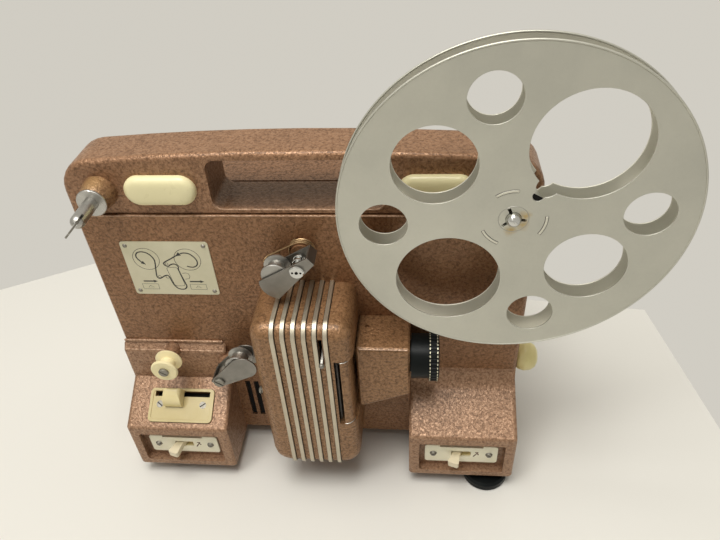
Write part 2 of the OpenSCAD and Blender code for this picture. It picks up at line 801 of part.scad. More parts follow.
module lamphouse_ribs() color("#b7aea4") for (k = [0:rib_count - 1]) {
    x = (k - (rib_count - 1) / 2) * rib_pitch;
    along_x(x - rib_w / 2, x + rib_w / 2) difference() {
        house_side(rib_t);
        house_side(0);
        translate([-house_d - 5, 0]) square([house_d + 10, house_z0 + house_r * 0.4]);
    }
}

// Film gate: fixed plate with the picture aperture, and the sprung gate that presses the film on it
module aperture_cut() translate([0, film_y - aperture[0] / 2, lens_z - aperture[1] / 2])
    cube([60, aperture[0], aperture[1]]);
module gate_plate() color("#4a4845") difference() {
    box(gate_x, gate_x + gate_t, -house_d + 4, notch_y - drop_gap, notch_z0, notch_z1);
    aperture_cut();
}
module pressure_gate() color("#7d5244") difference() {
    x1 = press_x + press_w;
    r = house_r - 2;
    along_z(notch_z0 + press_gap, notch_z1 - press_gap) {
        translate([press_x, -house_d + r]) square([press_w, house_d - r + notch_y - press_gap]);
        polygon(concat([[press_x, -house_d + r]], arc(x1 - r, -house_d + r, r, 270, 360, 8)));
    }
    rod_x(film_y, lens_z, lens_bore - 2, 0, 60);
}

module framing_lever() color("#c9c7c2") difference() {
    translate([framing_x, framing_y, framing_z]) rotate([framing_lean, 0, 0]) {
        rod_x(0, 0, 3, -framing_t / 2, framing_t / 2);
        box(-framing_t / 2, framing_t / 2, -framing_reach, 0, -framing_t, framing_t);
        translate([0, -framing_reach, 0]) sphere(framing_ball);
    }
    rod_x(framing_y, framing_z, framing_pin_r + run_fit, framing_x - 5, framing_x + 5);
}

// Lens carrier with its bore, the sliding lens and its focus ring
module lens_carrier() color("#8a5a49") difference() {
    r = carrier_r;
    x0 = house_x1;
    x1 = carrier_x;
    hull() for (a = [0, 30, 60], y = [-carrier_d + r, r]) {
        g = r * cos(a);
        h = r - r * sin(a);
        for (z = [carrier_low + r, carrier_top - r]) rod_x(y, z, g, x0 + h, x0 + r, $fn = 24);
        for (z = [carrier_low + carrier_rise + r, carrier_top - r]) rod_x(y, z, g, x1 - r, x1 - h, $fn = 24);
    }
    behind_panel();
    rod_x(film_y, lens_z, stem_r + run_fit, x0 - 1, x1 + 1);
    translate([x0 + 6, -10, carrier_top - 2]) cylinder(r = 1.5, h = 5);
}
module lens_barrel() color("#1b1b1c") difference() {
    turned_x(tube_x - stem_len, film_y, lens_z, [[0, 0], [stem_r, 0], [stem_r, stem_len], [lens_r, stem_len],
        [lens_r, stem_len + tube_len - 0.6], [lens_r - 0.6, stem_len + tube_len], [0, stem_len + tube_len]]);
    rod_x(film_y, lens_z, lens_bore, tube_x - stem_len - 1, tube_x + tube_len + 1);
    rod_x(film_y, lens_z, lens_r - 3, tube_x + tube_len - 4, tube_x + tube_len + 1);
}
module lens_elements() color("#bcd2d8") {
    x = tube_x + tube_len - 4;
    turned_x(x, film_y, lens_z, [[0, 0], [lens_r - 3, 0], [lens_r - 3, 1], [lens_r - 7, 2.2], [0, 2.8]]);
    turned_x(tube_x - stem_len, film_y, lens_z, [[0, 0.5], [lens_bore, 1.5], [lens_bore, 3.5], [0, 4.5]]);
}
module focus_ring() color("#161616") difference() {
    rod_x(film_y, lens_z, lens_r + ring_t, ring_x, ring_x + ring_w);
    rod_x(film_y, lens_z, lens_r + run_fit, ring_x - 1, ring_x + ring_w + 1);
    for (k = [0:35]) rotate_about_lens(k * 10)
        rod_x(film_y, lens_z + lens_r + ring_t + 0.3, 0.7, ring_x - 1, ring_x + ring_w + 1);
}
module rotate_about_lens(a) translate([0, film_y, lens_z]) rotate([a, 0, 0])
    translate([0, -film_y, -lens_z]) children();

// Film levers: two plates joined at a fold, with a pin that carries the roller
module turned_to(x, z, a) translate([x, 0, z]) rotate([0, -a, 0]) children();

module lever(fold_u, fold_v, pin) difference() {
    union() {
        for (y = [lever_front, lever_back - lever_t]) along_y(y, y + lever_t) children();
        box(fold_u, fold_u + lever_t, lever_front, lever_back, -fold_v, fold_v);
        rod_y(pin[0], pin[1], lever_pin_r, lever_front, lever_back);
    }
    rod_y(0, 0, post_r + run_fit, lever_front - 1, lever_back + 1);
}

// Upper lever: a tapered plate that widens to a bowed end
module upper_lever() color("#8d8f90") turned_to(upper_x, upper_z, upper_a)
    lever(-upper_fold, upper_w[0] / 2, upper_pin) {
        h = upper_w[1] / 2;
        r = (h * h + upper_bulge * upper_bulge) / (2 * upper_bulge);
        a = asin(h / r);
        polygon(concat([[-upper_fold, upper_w[0] / 2], [-upper_fold, -upper_w[0] / 2]],
            arc(upper_end + upper_bulge - r, 0, r, -a, a, 12)));
    }

// Lower lever: a plate with a small end at the pivot and a wide round end
module lower_lever() color("#9a9c9c") turned_to(lower_x, lower_z, lower_a)
    lever(-lower_r[0] - 0.2, 3, lower_pin) hull() {
        circle(lower_r[0], $fn = 32);
        translate(lower_end) circle(lower_r[1], $fn = 32);
    }

module lever_roller(pin) difference() {
    w = lever_back - lever_front - 2 * lever_t - 2 * pass_gap;
    core = roller_r - 2.5;
    turned_y(pin[0], pin[1], film_y + w / 2, [[0, 0], [roller_r - 0.4, 0], [roller_r, 0.4], [roller_r, 1.2],
        [core, 2.2], [core, w - 2.2], [roller_r, w - 1.2], [roller_r, w - 0.4], [roller_r - 0.4, w], [0, w]]);
    rod_y(pin[0], pin[1], lever_pin_r + run_fit, lever_front - 1, lever_back + 1);
}
module upper_roller() color("#9b9d9e") turned_to(upper_x, upper_z, upper_a) lever_roller(upper_pin);
module lower_roller() color("#9b9d9e") turned_to(lower_x, lower_z, lower_a) lever_roller(lower_pin);

// Post whose head keeps a lever or roller on, with spanner holes or a slot
module post(x, z, y0, y1, head, slotted) difference() {
    union() {
        rod_y(x, z, post_r, y1, y0);
        turned_y(x, z, y1 + 0.05, [[0, 0], [head, 0], [head, 1], [head - 0.5, 1.5], [0, 1.5]]);
    }
    if (slotted) translate([x, y1 - 1.5, z]) rotate([0, 35, 0])
        box(-head - 1, head + 1, -1, 0.8, -head * 0.12, head * 0.12);
    else for (k = [-1, 0, 1]) rod_y(x + k * head * 0.55, z, head * (k == 0 ? 0.2 : 0.14), y1 - 3, y1 - 0.6);
}
module upper_post() color("#c4c4c2") post(upper_x, upper_z, band_y, lever_front - drop_gap, 4.2, false);
module lower_post() color("#c4c4c2") post(lower_x, lower_z, 0, lever_front - drop_gap, 3.6, true);
module guide_post() color("#c4c4c2") post(guide_x, guide_z, 0, lever_front - drop_gap, 3.3, true);

module guide_roller() color("#e8dcae") difference() {
    w = guide_back - lever_front;
    core = guide_r - 4;
    turned_y(guide_x, guide_z, guide_back, [[0, 0], [guide_r - 0.8, 0], [guide_r, 0.8], [guide_r, 1.6],
        [core, 3.2], [core, w - 3.2], [guide_r, w - 1.6], [guide_r, w - 0.8], [guide_r - 0.8, w], [0, w]]);
    rod_y(guide_x, guide_z, post_r + run_fit, lever_front - 1, guide_back + 1);
}

// Torsion spring of the upper lever: coils round the boss and a straight tail
function spring_point(k) = let (n = spring_turns * spring_steps,
        a = spring_end_a + 360 * (k - n) / spring_steps, y = spring_y - spring_pitch * k / spring_steps)
    [upper_x + spring_r * cos(a), y, upper_z + spring_r * sin(a)];
function spring_dir(k) = let (n = spring_turns * spring_steps,
        a = spring_end_a + 360 * (min(k, n) - n) / spring_steps)
    [-sin(a), 0, cos(a)];
spring_path = let (n = spring_turns * spring_steps) concat([for (k = [0:n]) spring_point(k)],
    [spring_point(n) + spring_tail * spring_dir(n)]);
function wire_ring(p, t) = [for (k = [0:spring_sides - 1]) let (a = 360 * k / spring_sides)
    p + wire_r * (cos(a) * [0, 1, 0] + sin(a) * [t[2], 0, -t[0]])];
echo(spring_gap = min([for (i = [0:len(spring_path) - 1], j = [0:len(spring_path) - 1])
    if (j - i >= spring_steps) norm(spring_path[j] - spring_path[i]) - 2 * wire_r]));

module upper_spring() color("#b08d4c") {
    n = len(spring_path);
    s = spring_sides;
    points = [for (k = [0:n - 1]) each wire_ring(spring_path[k], spring_dir(k))];
    sides = [for (k = [0:n - 2], j = [0:s - 1]) let (a = k * s + j, b = k * s + (j + 1) % s)
        each [[a, b, a + s], [b, b + s, a + s]]];
    cap0 = [for (j = [1:s - 2]) [0, j + 1, j]];
    cap1 = [for (j = [1:s - 2]) [(n - 1) * s, (n - 1) * s + j, (n - 1) * s + j + 1]];
    polyhedron(points, concat(sides, cap0, cap1));
}

// Spindles: shaft, flange and barrel with a rounded tip
module spindle(x, barrel_tip) {
    shaft_back = slab_back - 3.5;
    l = [shaft_back - boss_y + pass_gap, shaft_back - seat_y, shaft_back - barrel_tip];
    turned_y(x, spindle_z, shaft_back, concat([[0, 0], [shaft_r, 0], [shaft_r, l[0]], [flange_r - 0.4, l[0]],
        [flange_r, l[0] + 0.4], [flange_r, l[1] - 0.4], [flange_r - 0.4, l[1]], [spindle_r, l[1]]],
        arc(0, l[2] - spindle_r, spindle_r, 0, 90, 6)));
}

// The take-up spindle rests with its slot turned to one side
module takeup_turned() translate([-takeup_x, 0, spindle_z]) rotate([0, takeup_turn, 0]) children();

module takeup_spindle() color("#c6c5c1") {
    g = latch_t / 2 + drop_gap;
    difference() {
        spindle(-takeup_x, tip_y);
        takeup_turned() box(-g, g, tip_y - 1, latch_y + latch_slot, -10, 10);
    }
    takeup_turned() rod_x(latch_y, 0, latch_pin_r, -spindle_r + 1, spindle_r - 1);
}
module takeup_latch() color("#b9b8b2") takeup_turned() difference() {
    along_x(-latch_t / 2, latch_t / 2) translate([latch_y - latch_len / 2 + 2, 0])
        round_rect(latch_len + 2, latch_w, 2);
    rod_x(latch_y, 0, latch_pin_r + run_fit, -10, 10);
}
function pulley_profile(r) = let (w = pulley_w, c = r - pulley_rim)
    [[0, 0], [r, 0], [r, 1], [c, 2], [c, w - 2], [r, w - 1], [r, w], [0, w]];
module pulley_y(x, z, r, bore) difference() {
    turned_y(x, z, pulley_y + pulley_w / 2, pulley_profile(r));
    rod_y(x, z, bore, 0, 60);
}
module takeup_pulley() color("#4c4a48") pulley_y(-takeup_x, spindle_z, takeup_pulley_r, shaft_r);

module supply_spindle() color("#c6c5c1") spindle(spindle_x, reel_front - spindle_r - drop_gap);

// Reel: two pressed flanges and a hub
function reel_holes() = concat(
    [for (a = [reel_turn, reel_turn + 180]) [reel_r * 0.565, a, reel_r * 0.312]],
    [for (a = [143, 323]) [reel_r * 0.56, a, reel_r * 0.236]],
    [for (a = [2.5, 102.5, 183.5, 283.5]) [reel_r * 0.73, a, reel_r * 0.14]]);

module keyed_bore() {
    circle(spindle_r + run_fit);
    for (a = [-9, 114, 219]) rotate(a) translate([0, -0.9]) square([spindle_r + 2.2, 1.8]);
}

// Slot from the upper large hole towards the hub, in which the film's end is caught
module film_slot() rotate(reel_turn) {
    translate([bite_at, 0]) circle(bite_r);
    translate([bite_at, -bite_r]) square([reel_r * 0.1, 2 * bite_r]);
    translate([reel_r * 0.26, 0]) circle(2 * bite_r);
}

module reel_flange(y0) {
    along_y(y0, y0 + sheet_t) translate([spindle_x, spindle_z]) difference() {
        circle(reel_r - 0.6, $fn = 128);
        keyed_bore();
        for (h = reel_holes()) rotate(h[1]) translate([h[0], 0]) circle(h[2]);
        film_slot();
    }
    translate([spindle_x, y0 + sheet_t / 2, spindle_z]) rotate([90, 0, 0]) rotate_extrude()
        translate([reel_r - 0.9, 0]) circle(0.9);
}
module reel_front_flange() color("#b9b8b2") reel_flange(reel_front);
module reel_rear_flange() color("#b9b8b2") reel_flange(reel_back - sheet_t);
module reel_hub() color("#a9a8a3") along_y(reel_front + sheet_t, reel_back - sheet_t)
    translate([spindle_x, spindle_z]) difference() {
        circle(hub_r);
        keyed_bore();
    }

// Light: lamp in its socket, and the condenser
module lamp() color("#e6e2d2") turned_z(lamp_x, film_y, lens_z - 22,
    [[0, 0], [lamp_base, 0], [lamp_base, 10], [lamp_d, 18], [lamp_d, 26], [lamp_base, 33], [0, 34]]);
module lamp_socket() color("#3a3733") difference() {
    box(lamp_x - socket_w / 2, lamp_x + socket_w / 2, film_y - socket_w / 2, 0, lens_z - 34, lens_z - 16);
    translate([lamp_x, film_y, lens_z - 22]) cylinder(r = lamp_base, h = 20);
}
module condenser() color("#cfdfe3") {
    r = condenser_r;
    x0 = cavity_x1 - 12;
    turned_x(x0, film_y, lens_z, [[0, -1.5], [r - 3, -0.6], [r, 0.5], [r, 4], [r - 3, 5], [0, 6]]);
    box(x0 + 0.5, x0 + 4, film_y + r - 0.5, 0, lens_z - 3, lens_z + 3);
}

// Drive train
module main_shaft() color("#a3a19c") {
    rod_x(shaft_y, shaft_z, shaft_r, bracket_x - bracket_t / 2 - 1, half_w + shaft_out);
    difference() {
        rod_x(shaft_y, shaft_z, worm_r, worm_x - 9, worm_x + 9);
        for (k = [-2:2]) translate([worm_x + k * 3, shaft_y, shaft_z]) rotate([0, 90, 0]) rotate_extrude()
            translate([worm_r + 0.6, 0]) circle(1.4);
    }
}
module inching_knob() color("#e8dcae") difference() {
    r = inching_r;
    turned_x(half_w + 1, shaft_y, shaft_z, [[0, 0], [r - 2, 0], [r - 1, 1.5], [r, 5], [r - 0.4, 9],
        [r - 2.2, 12], [r - 5, 13.6], [0, 14]]);
    rod_x(shaft_y, shaft_z, shaft_r, half_w, half_w + shaft_out);
}
module shutter() color("#2c2b2a") along_x(shutter_x, shutter_x + shutter_t) translate([shaft_y, shaft_z])
    difference() {
        circle(shutter_r);
        circle(shaft_r);
        for (a = [0, 120, 240]) rotate(a) intersection() {
            difference() {
                circle(shutter_r - 3);
                circle(shutter_hub);
            }
            polygon([[0, 0], [shutter_r * 1.2, -shutter_hub], [shutter_r * 1.2, shutter_hub]]);
        }
    }
module pulley_x(y, z, r, bore) difference() {
    turned_x(belt_x - pulley_w / 2, y, z, pulley_profile(r));
    if (bore > 0) rod_x(y, z, bore, belt_x - pulley_w, belt_x + pulley_w);
}
module main_pulley() color("#4c4a48") pulley_x(shaft_y, shaft_z, main_pulley_r, shaft_r);
module motor_shaft() color("#a3a19c") {
    rod_x(motor_y, motor_z, shaft_r, belt_x - pulley_w, motor_x0 + motor_len + 2 * fan_w + 2);
    pulley_x(motor_y, motor_z, motor_pulley_r, 0);
}
module fan() color("#55524f") {
    x = motor_x0 + motor_len + fan_w;
    difference() {
        rod_x(motor_y, motor_z, fan_hub, x, x + fan_w);
        rod_x(motor_y, motor_z, shaft_r, x - 1, x + fan_w + 1);
    }
    for (k = [0:7]) translate([x, motor_y, motor_z]) rotate([k * 45, 0, 0])
        box(1, fan_w - 1, -0.7, 0.7, fan_hub - 0.5, motor_r - 2.5);
}
module motor() color("#5a5a5c") difference() {
    union() {
        rod_x(motor_y, motor_z, motor_r, motor_x0, motor_x0 + motor_len);
        box(motor_x0 + 8, motor_x0 + motor_len - 8, motor_y - 18, motor_y + 18, rear_floor, motor_z);
    }
    rod_x(motor_y, motor_z, shaft_r + run_fit, motor_x0 - 1, motor_x0 + motor_len + 1);
}
module shaft_bracket() color("#6b645d") difference() {
    translate([bracket_x - bracket_t / 2, inner_y, shaft_z - bracket_w / 2])
        cube([bracket_t, shaft_y - inner_y + 8, bracket_w]);
    rod_x(shaft_y, shaft_z, shaft_r + run_fit, bracket_x - bracket_t, bracket_x + bracket_t);
}
// Transformer: a laminated core with a coil round its middle
module transformer() color("#6a6056") {
    translate([core_x - core[0] / 2, core_y - core[1] / 2, rear_floor]) cube(core);
    translate([core_x - coil[0] / 2, core_y - coil[1] / 2, rear_floor + (core[2] - coil[2]) / 2]) cube(coil);
}
module lay_shaft() color("#a3a19c") rod_y(worm_x, lay_z, lay_r, inner_y + drop_gap, slab_back - 3);
module worm_wheel() color("#8f7a45") difference() {
    rod_y(worm_x, lay_z, wheel_r, shaft_y - wheel_t / 2, shaft_y + wheel_t / 2);
    rod_y(worm_x, lay_z, lay_r, 0, 60);
    for (k = [0:23]) translate([worm_x, 0, lay_z]) rotate([0, k * 15, 0]) rod_y(wheel_r + 0.5, 0, 0.9, 0, 60);
}
module lay_pulley() color("#4c4a48") pulley_y(worm_x, lay_z, lay_pulley_r, lay_r);

// Flat belt over two wheels of unlike radius, drawn in its own plane
module belt_outline(p, rp, q, rq) {
    d = q - p;
    a = atan2(d[1], d[0]);
    b = acos((rp - rq) / norm(d));
    polygon(concat(arc(p[0], p[1], rp, a + b, a + 360 - b, 24), arc(q[0], q[1], rq, a - b, a + b, 24)));
}
module belt(p, rp, q, rq) linear_extrude(belt_w, center = true) difference() {
    belt_outline(p, rp + belt_t, q, rq + belt_t);
    belt_outline(p, rp, q, rq);
}
module drive_belts() color("#2b2a29") {
    translate([0, pulley_y, 0]) rotate([90, 0, 0])
        belt([worm_x, lay_z], lay_pulley_r + belt_lift, [-takeup_x, spindle_z], takeup_pulley_r + belt_lift);
    translate([belt_x, 0, 0]) rotate([90, 0, 90])
        belt([shaft_y, shaft_z], main_pulley_r + belt_lift, [motor_y, motor_z], motor_pulley_r + belt_lift);
}

module elevating_foot() color("#171717") {
    top = z_low + elevate_len;
    turned_z(elevate_x, elevate_y, 0, [[0, 0], [foot_r - 1, 0], [foot_r, 1], [foot_r, 5], [foot_r - 1.5, 6.5],
        [elevate_stem, 6.5], [elevate_stem, top], [0, top]]);
}

placed() front_slab();
placed() back_cover();
placed() front_panel();
placed() left_console();
placed() right_console();
placed() rear_housing();
placed() feet();
placed() control_pills();
placed() spindle_bosses();
placed() thread_plate();
placed() speed_plate();
placed() switch_plates();
placed() small_fasteners();
placed() switch_bodies();
placed() lamphouse_cover();
placed() lamphouse_ribs();
placed() gate_plate();
placed() lens_carrier();
placed() upper_post();
placed() upper_spring();
placed() lower_post();
placed() guide_post();
placed() lamp();
placed() lamp_socket();
placed() condenser();
placed() shaft_bracket();
placed() motor();
placed() transformer();
placed() drive_belts();
placed() mains_inlet();
placed() takeup_spindle();
placed() takeup_pulley();
placed() takeup_latch();
placed() supply_spindle();
placed() reel_front_flange();
placed() reel_rear_flange();
placed() reel_hub();
placed() upper_lever();
placed() upper_roller();
placed() lower_lever();
placed() lower_roller();
placed() guide_roller();
placed() speed_knob();
placed() motor_toggle();
placed() lamp_toggle();
placed() framing_lever();
placed() pressure_gate();
placed() lens_barrel();
placed() lens_elements();
placed() focus_ring();
placed() main_shaft();
placed() inching_knob();
placed() shutter();
placed() main_pulley();
placed() motor_shaft();
placed() fan();
placed() lay_shaft();
placed() worm_wheel();
placed() lay_pulley();
placed() elevating_foot();
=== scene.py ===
import math

import bmesh
import bpy
from mathutils import Matrix, Vector


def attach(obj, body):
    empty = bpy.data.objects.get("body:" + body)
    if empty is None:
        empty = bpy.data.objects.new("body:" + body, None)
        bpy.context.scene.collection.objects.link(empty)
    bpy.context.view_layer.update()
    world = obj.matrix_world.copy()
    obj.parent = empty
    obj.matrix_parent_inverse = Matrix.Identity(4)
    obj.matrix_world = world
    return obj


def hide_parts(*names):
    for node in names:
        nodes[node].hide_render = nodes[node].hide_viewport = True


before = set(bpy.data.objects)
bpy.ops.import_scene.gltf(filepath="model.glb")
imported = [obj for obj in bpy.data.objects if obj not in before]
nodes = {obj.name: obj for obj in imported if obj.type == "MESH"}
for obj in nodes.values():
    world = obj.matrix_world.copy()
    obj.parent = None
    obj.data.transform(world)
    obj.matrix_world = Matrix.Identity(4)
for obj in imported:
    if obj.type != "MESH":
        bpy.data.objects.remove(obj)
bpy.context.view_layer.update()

# Lengths below are the CAD source's own millimetres; the origin sits under the middle of the object
MIDDLE = Vector((34.8, 26.101, 0.0))
MM = 0.001


def at(x, y, z):
    """A place of the source, in metres of the shared frame."""
    return (Vector((x, y, z)) - MIDDLE) * MM


# Places that several sections share: the reel, the switch plates, the speed control and the upper lever
REEL_X, REEL_Z, REEL_R = 113.6, 220.3, 89.0
REEL_FRONT, REEL_WIDE, SHEET = -24.9, 10.8, 0.8
SWITCH_X, SWITCH_Z, SWITCH_FACE = 97.25, 30.3, -31.0
SPEED_X = -95.2
UPPER_X, UPPER_Z = 0.0, 183.7

# Materials, by the names that they are given here
MATERIALS = {}


class Tree:
    """A node tree, with short ways to add nodes."""

    def __init__(self, tree):
        self.tree = tree

    def plug(self, socket, value):
        """Link a socket to another one, or give it a value."""
        if isinstance(value, bpy.types.NodeSocket):
            self.tree.links.new(value, socket)
        else:
            socket.default_value = value

    def node(self, kind, inputs=None, **props):
        """A new node with its settings and inputs."""
        made = self.tree.nodes.new(kind)
        for key, value in props.items():
            setattr(made, key, value)
        for key, value in (inputs or {}).items():
            self.plug(made.inputs[key], value)
        return made

    def ramp(self, fac, *stops):
        """Tones or grey levels at rising stops from 0 to 1."""
        made = self.node("ShaderNodeValToRGB", {"Fac": fac})
        band = made.color_ramp.elements
        for stop, _ in stops[1:-1]:
            band.new(stop)
        for element, (stop, tone) in zip(band, stops):
            element.position = stop
            element.color = (*tone, 1.0) if isinstance(tone, tuple) else (tone, tone, tone, 1.0)
        return made.outputs["Color"]

    def mix(self, fac, a, b, blend="MIX"):
        """Two colours mixed; the numbers are the node's factor and colour sockets."""
        a = (*a, 1.0) if isinstance(a, tuple) else a
        b = (*b, 1.0) if isinstance(b, tuple) else b
        return self.node("ShaderNodeMix", {0: fac, 6: a, 7: b}, data_type="RGBA", blend_type=blend).outputs[2]

    def math(self, operation, a, b=0.0):
        return self.node("ShaderNodeMath", {0: a, 1: b}, operation=operation).outputs[0]

    def vector(self, operation, a, b):
        return self.node("ShaderNodeVectorMath", {0: a, 1: b}, operation=operation).outputs


class Graph(Tree):
    """A material's node tree round its shader, laid out by the place in the shared frame."""

    def __init__(self, name, **sockets):
        self.mat = MATERIALS[name] = bpy.data.materials.new(name)
        self.mat.use_nodes = True
        super().__init__(self.mat.node_tree)
        self.shader = self.tree.nodes["Principled BSDF"]
        self.place = self.node("ShaderNodeTexCoord").outputs["Object"]
        self.set(**sockets)

    def set(self, **sockets):
        """Plug the shader's sockets, named with underscores for spaces."""
        for key, value in sockets.items():
            self.plug(self.shader.inputs[key.replace("_", " ")], value)

    def noise(self, scale, detail=3.0, rough=0.5, place=None):
        inputs = {"Vector": place or self.place, "Scale": scale, "Detail": detail, "Roughness": rough}
        return self.node("ShaderNodeTexNoise", inputs).outputs["Fac"]

    def warped(self, scale, reach):
        """The place, pushed about by a coloured noise."""
        tex = self.node("ShaderNodeTexNoise", {"Vector": self.place, "Scale": scale, "Detail": 2.0})
        push = self.vector("SUBTRACT", tex.outputs["Color"], (0.5, 0.5, 0.5))[0]
        push = self.node("ShaderNodeVectorMath", {0: push, "Scale": reach}, operation="SCALE").outputs[0]
        return self.vector("ADD", self.place, push)[0]

    def stretched(self, scales):
        """The place, scaled by axis to draw a grain out."""
        return self.vector("MULTIPLY", self.place, scales)[0]

    def apart(self, place, spot):
        """Distance of a place from a spot."""
        return self.vector("DISTANCE", place, tuple(spot))["Value"]

    def within(self, low, high, soft=0.0003):
        """One between two corners and zero outside, with a soft edge."""
        parts, inside = self.node("ShaderNodeSeparateXYZ", {"Vector": self.place}).outputs, 1.0
        for axis in range(3):
            middle, half = (low[axis] + high[axis]) / 2, abs(high[axis] - low[axis]) / 2
            off = self.math("ABSOLUTE", self.math("SUBTRACT", parts[axis], middle))
            edge = self.ramp(off, (half - soft, 1.0), (half + soft, 0.0))
            inside = self.math("MULTIPLY", inside, edge)
        return inside

    def bump(self, height, strength, distance):
        inputs = {"Height": height, "Strength": strength, "Distance": distance}
        return self.node("ShaderNodeBump", inputs).outputs["Normal"]


def hammer_paint(name, dark, mid, light, wear_and_highlights=None, painted_shade=None):
    """Hammer-tone enamel: a mottled ground with short soft creases and shallow dents.

    It may be rubbed bare round one spot, and darkened with painted shade between two corners."""
    g = Graph(name, Metallic=0.3, Specular_Tint=(1.0, 0.80, 0.62, 1.0))
    g.set(Coat_Weight=0.24, Coat_Roughness=0.28)
    swirl = g.noise(360.0, 1.5, 0.5, g.warped(300.0, 0.0015))
    crease = g.ramp(g.math("ABSOLUTE", g.math("SUBTRACT", swirl, 0.5)), (0.0, 0.0), (0.085, 1.0))
    speck = g.noise(540.0, 3.0, 0.62, g.warped(420.0, 0.0014))
    speck = g.ramp(speck, (0.36, 0.0), (0.52, 0.75), (0.66, 1.0))
    isle = g.math("ADD", g.math("MULTIPLY", crease, 0.4), g.math("MULTIPLY", speck, 0.6))
    grain = g.ramp(g.noise(1500.0, 2.0, 0.6), (0.3, 0.88), (0.7, 1.08))
    cloud = g.ramp(g.noise(40.0, 4.0, 0.6), (0.3, 0.92), (0.7, 1.06))
    colour = g.ramp(isle, (0.1, dark), (0.65, mid), (1.0, light))
    colour = g.mix(1.0, g.mix(1.0, colour, grain, "MULTIPLY"), cloud, "MULTIPLY")
    if wear_and_highlights:
        tint, spot, reach = wear_and_highlights
        apart = g.apart(g.warped(200.0, 0.003), spot)
        bare = g.ramp(apart, (reach * 0.3, 0.9), (reach, 0.0))
        colour = g.mix(bare, colour, tint)
    # Painted shade: between the two corners the colour darkens towards a dark tone
    if painted_shade:
        shade_amount = g.math("MULTIPLY", g.within(*painted_shade), 0.72)
        colour = g.mix(shade_amount, colour, tuple(c * 0.3 for c in dark))
    fine = g.math("MULTIPLY", g.noise(700.0, 2.0), 0.7)
    height = g.math("ADD", g.math("MULTIPLY", isle, 0.8), fine)
    g.set(Base_Color=colour, Roughness=g.ramp(isle, (0.2, 0.55), (1.0, 0.32)))
    g.set(Normal=g.bump(height, 0.7, 0.00045))


def plastic(name, low, high, rough, waves=40.0, speck=None, shine=0.5):
    """Moulded plastic with a faint cloudiness, fine orange peel and handling dirt."""
    g = Graph(name, Specular_IOR_Level=shine)
    colour = g.ramp(g.noise(waves, 4.0, 0.6), (0.3, low), (0.7, high))
    if speck:
        spots = g.ramp(g.noise(300.0, 4.0, 0.7), (0.62, 0.0), (0.74, 1.0))
        colour = g.mix(g.math("MULTIPLY", spots, 0.5), colour, speck)
    g.set(Base_Color=colour, Roughness=g.ramp(g.noise(150.0), (0.3, rough - 0.03), (0.7, rough + 0.04)))
    g.set(Normal=g.bump(g.noise(700.0, 2.0), 0.06, 0.0003))


def metal(name, low, high, rough, grain=(1.0, 1.0, 1.0), scale=400.0, strength=0.12, metallic=1.0):
    """Bare metal with drawn or spun grain and slight tarnish."""
    g = Graph(name, Metallic=metallic)
    tarnish = g.noise(60.0, 5.0, 0.65)
    g.set(Base_Color=g.ramp(tarnish, (0.3, low), (0.7, high)))
    lines = g.noise(scale, 4.0, 0.6, g.stretched(grain))
    g.set(Roughness=g.ramp(lines, (0.3, max(rough - 0.08, 0.03)), (0.7, rough + 0.1)))
    g.set(Normal=g.bump(lines, strength, 0.00015))


def reel_metal(name, low, high, stains, metallic=0.75):
    """Satin aluminium with fine scuffs, soft blotches and old glue stains, each a spot and its reach."""
    g = Graph(name, Metallic=metallic)
    blotch = g.ramp(g.noise(16.0, 5.0, 0.6), (0.3, low), (0.7, high))
    ragged = g.warped(300.0, 0.0035)
    stain = 0.0
    for spot, reach in stains:
        patch = g.ramp(g.apart(ragged, spot), (reach * 0.88, 1.0), (reach, 0.0))
        stain = g.math("MAXIMUM", stain, patch)
    patchy = g.ramp(g.noise(420.0, 4.0, 0.65), (0.35, 0.55), (0.55, 0.95))
    stain = g.math("MULTIPLY", stain, patchy)
    g.set(Base_Color=g.mix(stain, blotch, (0.46, 0.325, 0.12)))
    scuff = g.noise(700.0, 4.0, 0.7)
    g.set(Roughness=g.ramp(scuff, (0.3, 0.38), (0.7, 0.52)), Normal=g.bump(scuff, 0.06, 0.0002))


def glass(name, tint):
    """Clear glass with faint wipe marks."""
    g = Graph(name, Transmission_Weight=1.0, IOR=1.5, Coat_Weight=0.4)
    g.set(Base_Color=(*tint, 1.0), Roughness=g.ramp(g.noise(200.0), (0.3, 0.02), (0.7, 0.06)))


# Glue stains near the reel's hub: place across and up from its middle, and reach
GLUE = [(at(REEL_X + u, REEL_FRONT, REEL_Z + v), r * MM)
        for u, v, r in ((5.2, 2.0, 3.9), (-0.7, -6.8, 3.5), (4.8, -3.6, 3.3))]
# Spaces darkened with painted shade, by their corners, and the bare spot on a boss: its tint, place and reach
HAND_HOLE = at(-48.7, 2.6, 208.0), at(48.7, 33.0, 239.5)
RECESS_HALF, RECESS_FRONT, RECESS_BACK, RECESS_LOW, RECESS_HIGH = 28.8, -34.5, -29.7, 17.6, 46.2
BOSS_WEAR = (0.36, 0.21, 0.085), at(-111.5, -4.0, 231.0), 0.009
# The consoles' paint is lighter than the slab's: their own tone, and partly a painted sheen on their slopes
CONSOLE_TONES = (0.186, 0.100, 0.056), (0.322, 0.183, 0.106), (0.405, 0.246, 0.152)


def switch_recess(side):
    """Corners of the space round a console's switch that is darkened with painted shade."""
    middle = side * SWITCH_X
    low = at(middle - RECESS_HALF, RECESS_FRONT, RECESS_LOW)
    return low, at(middle + RECESS_HALF, RECESS_BACK, RECESS_HIGH)


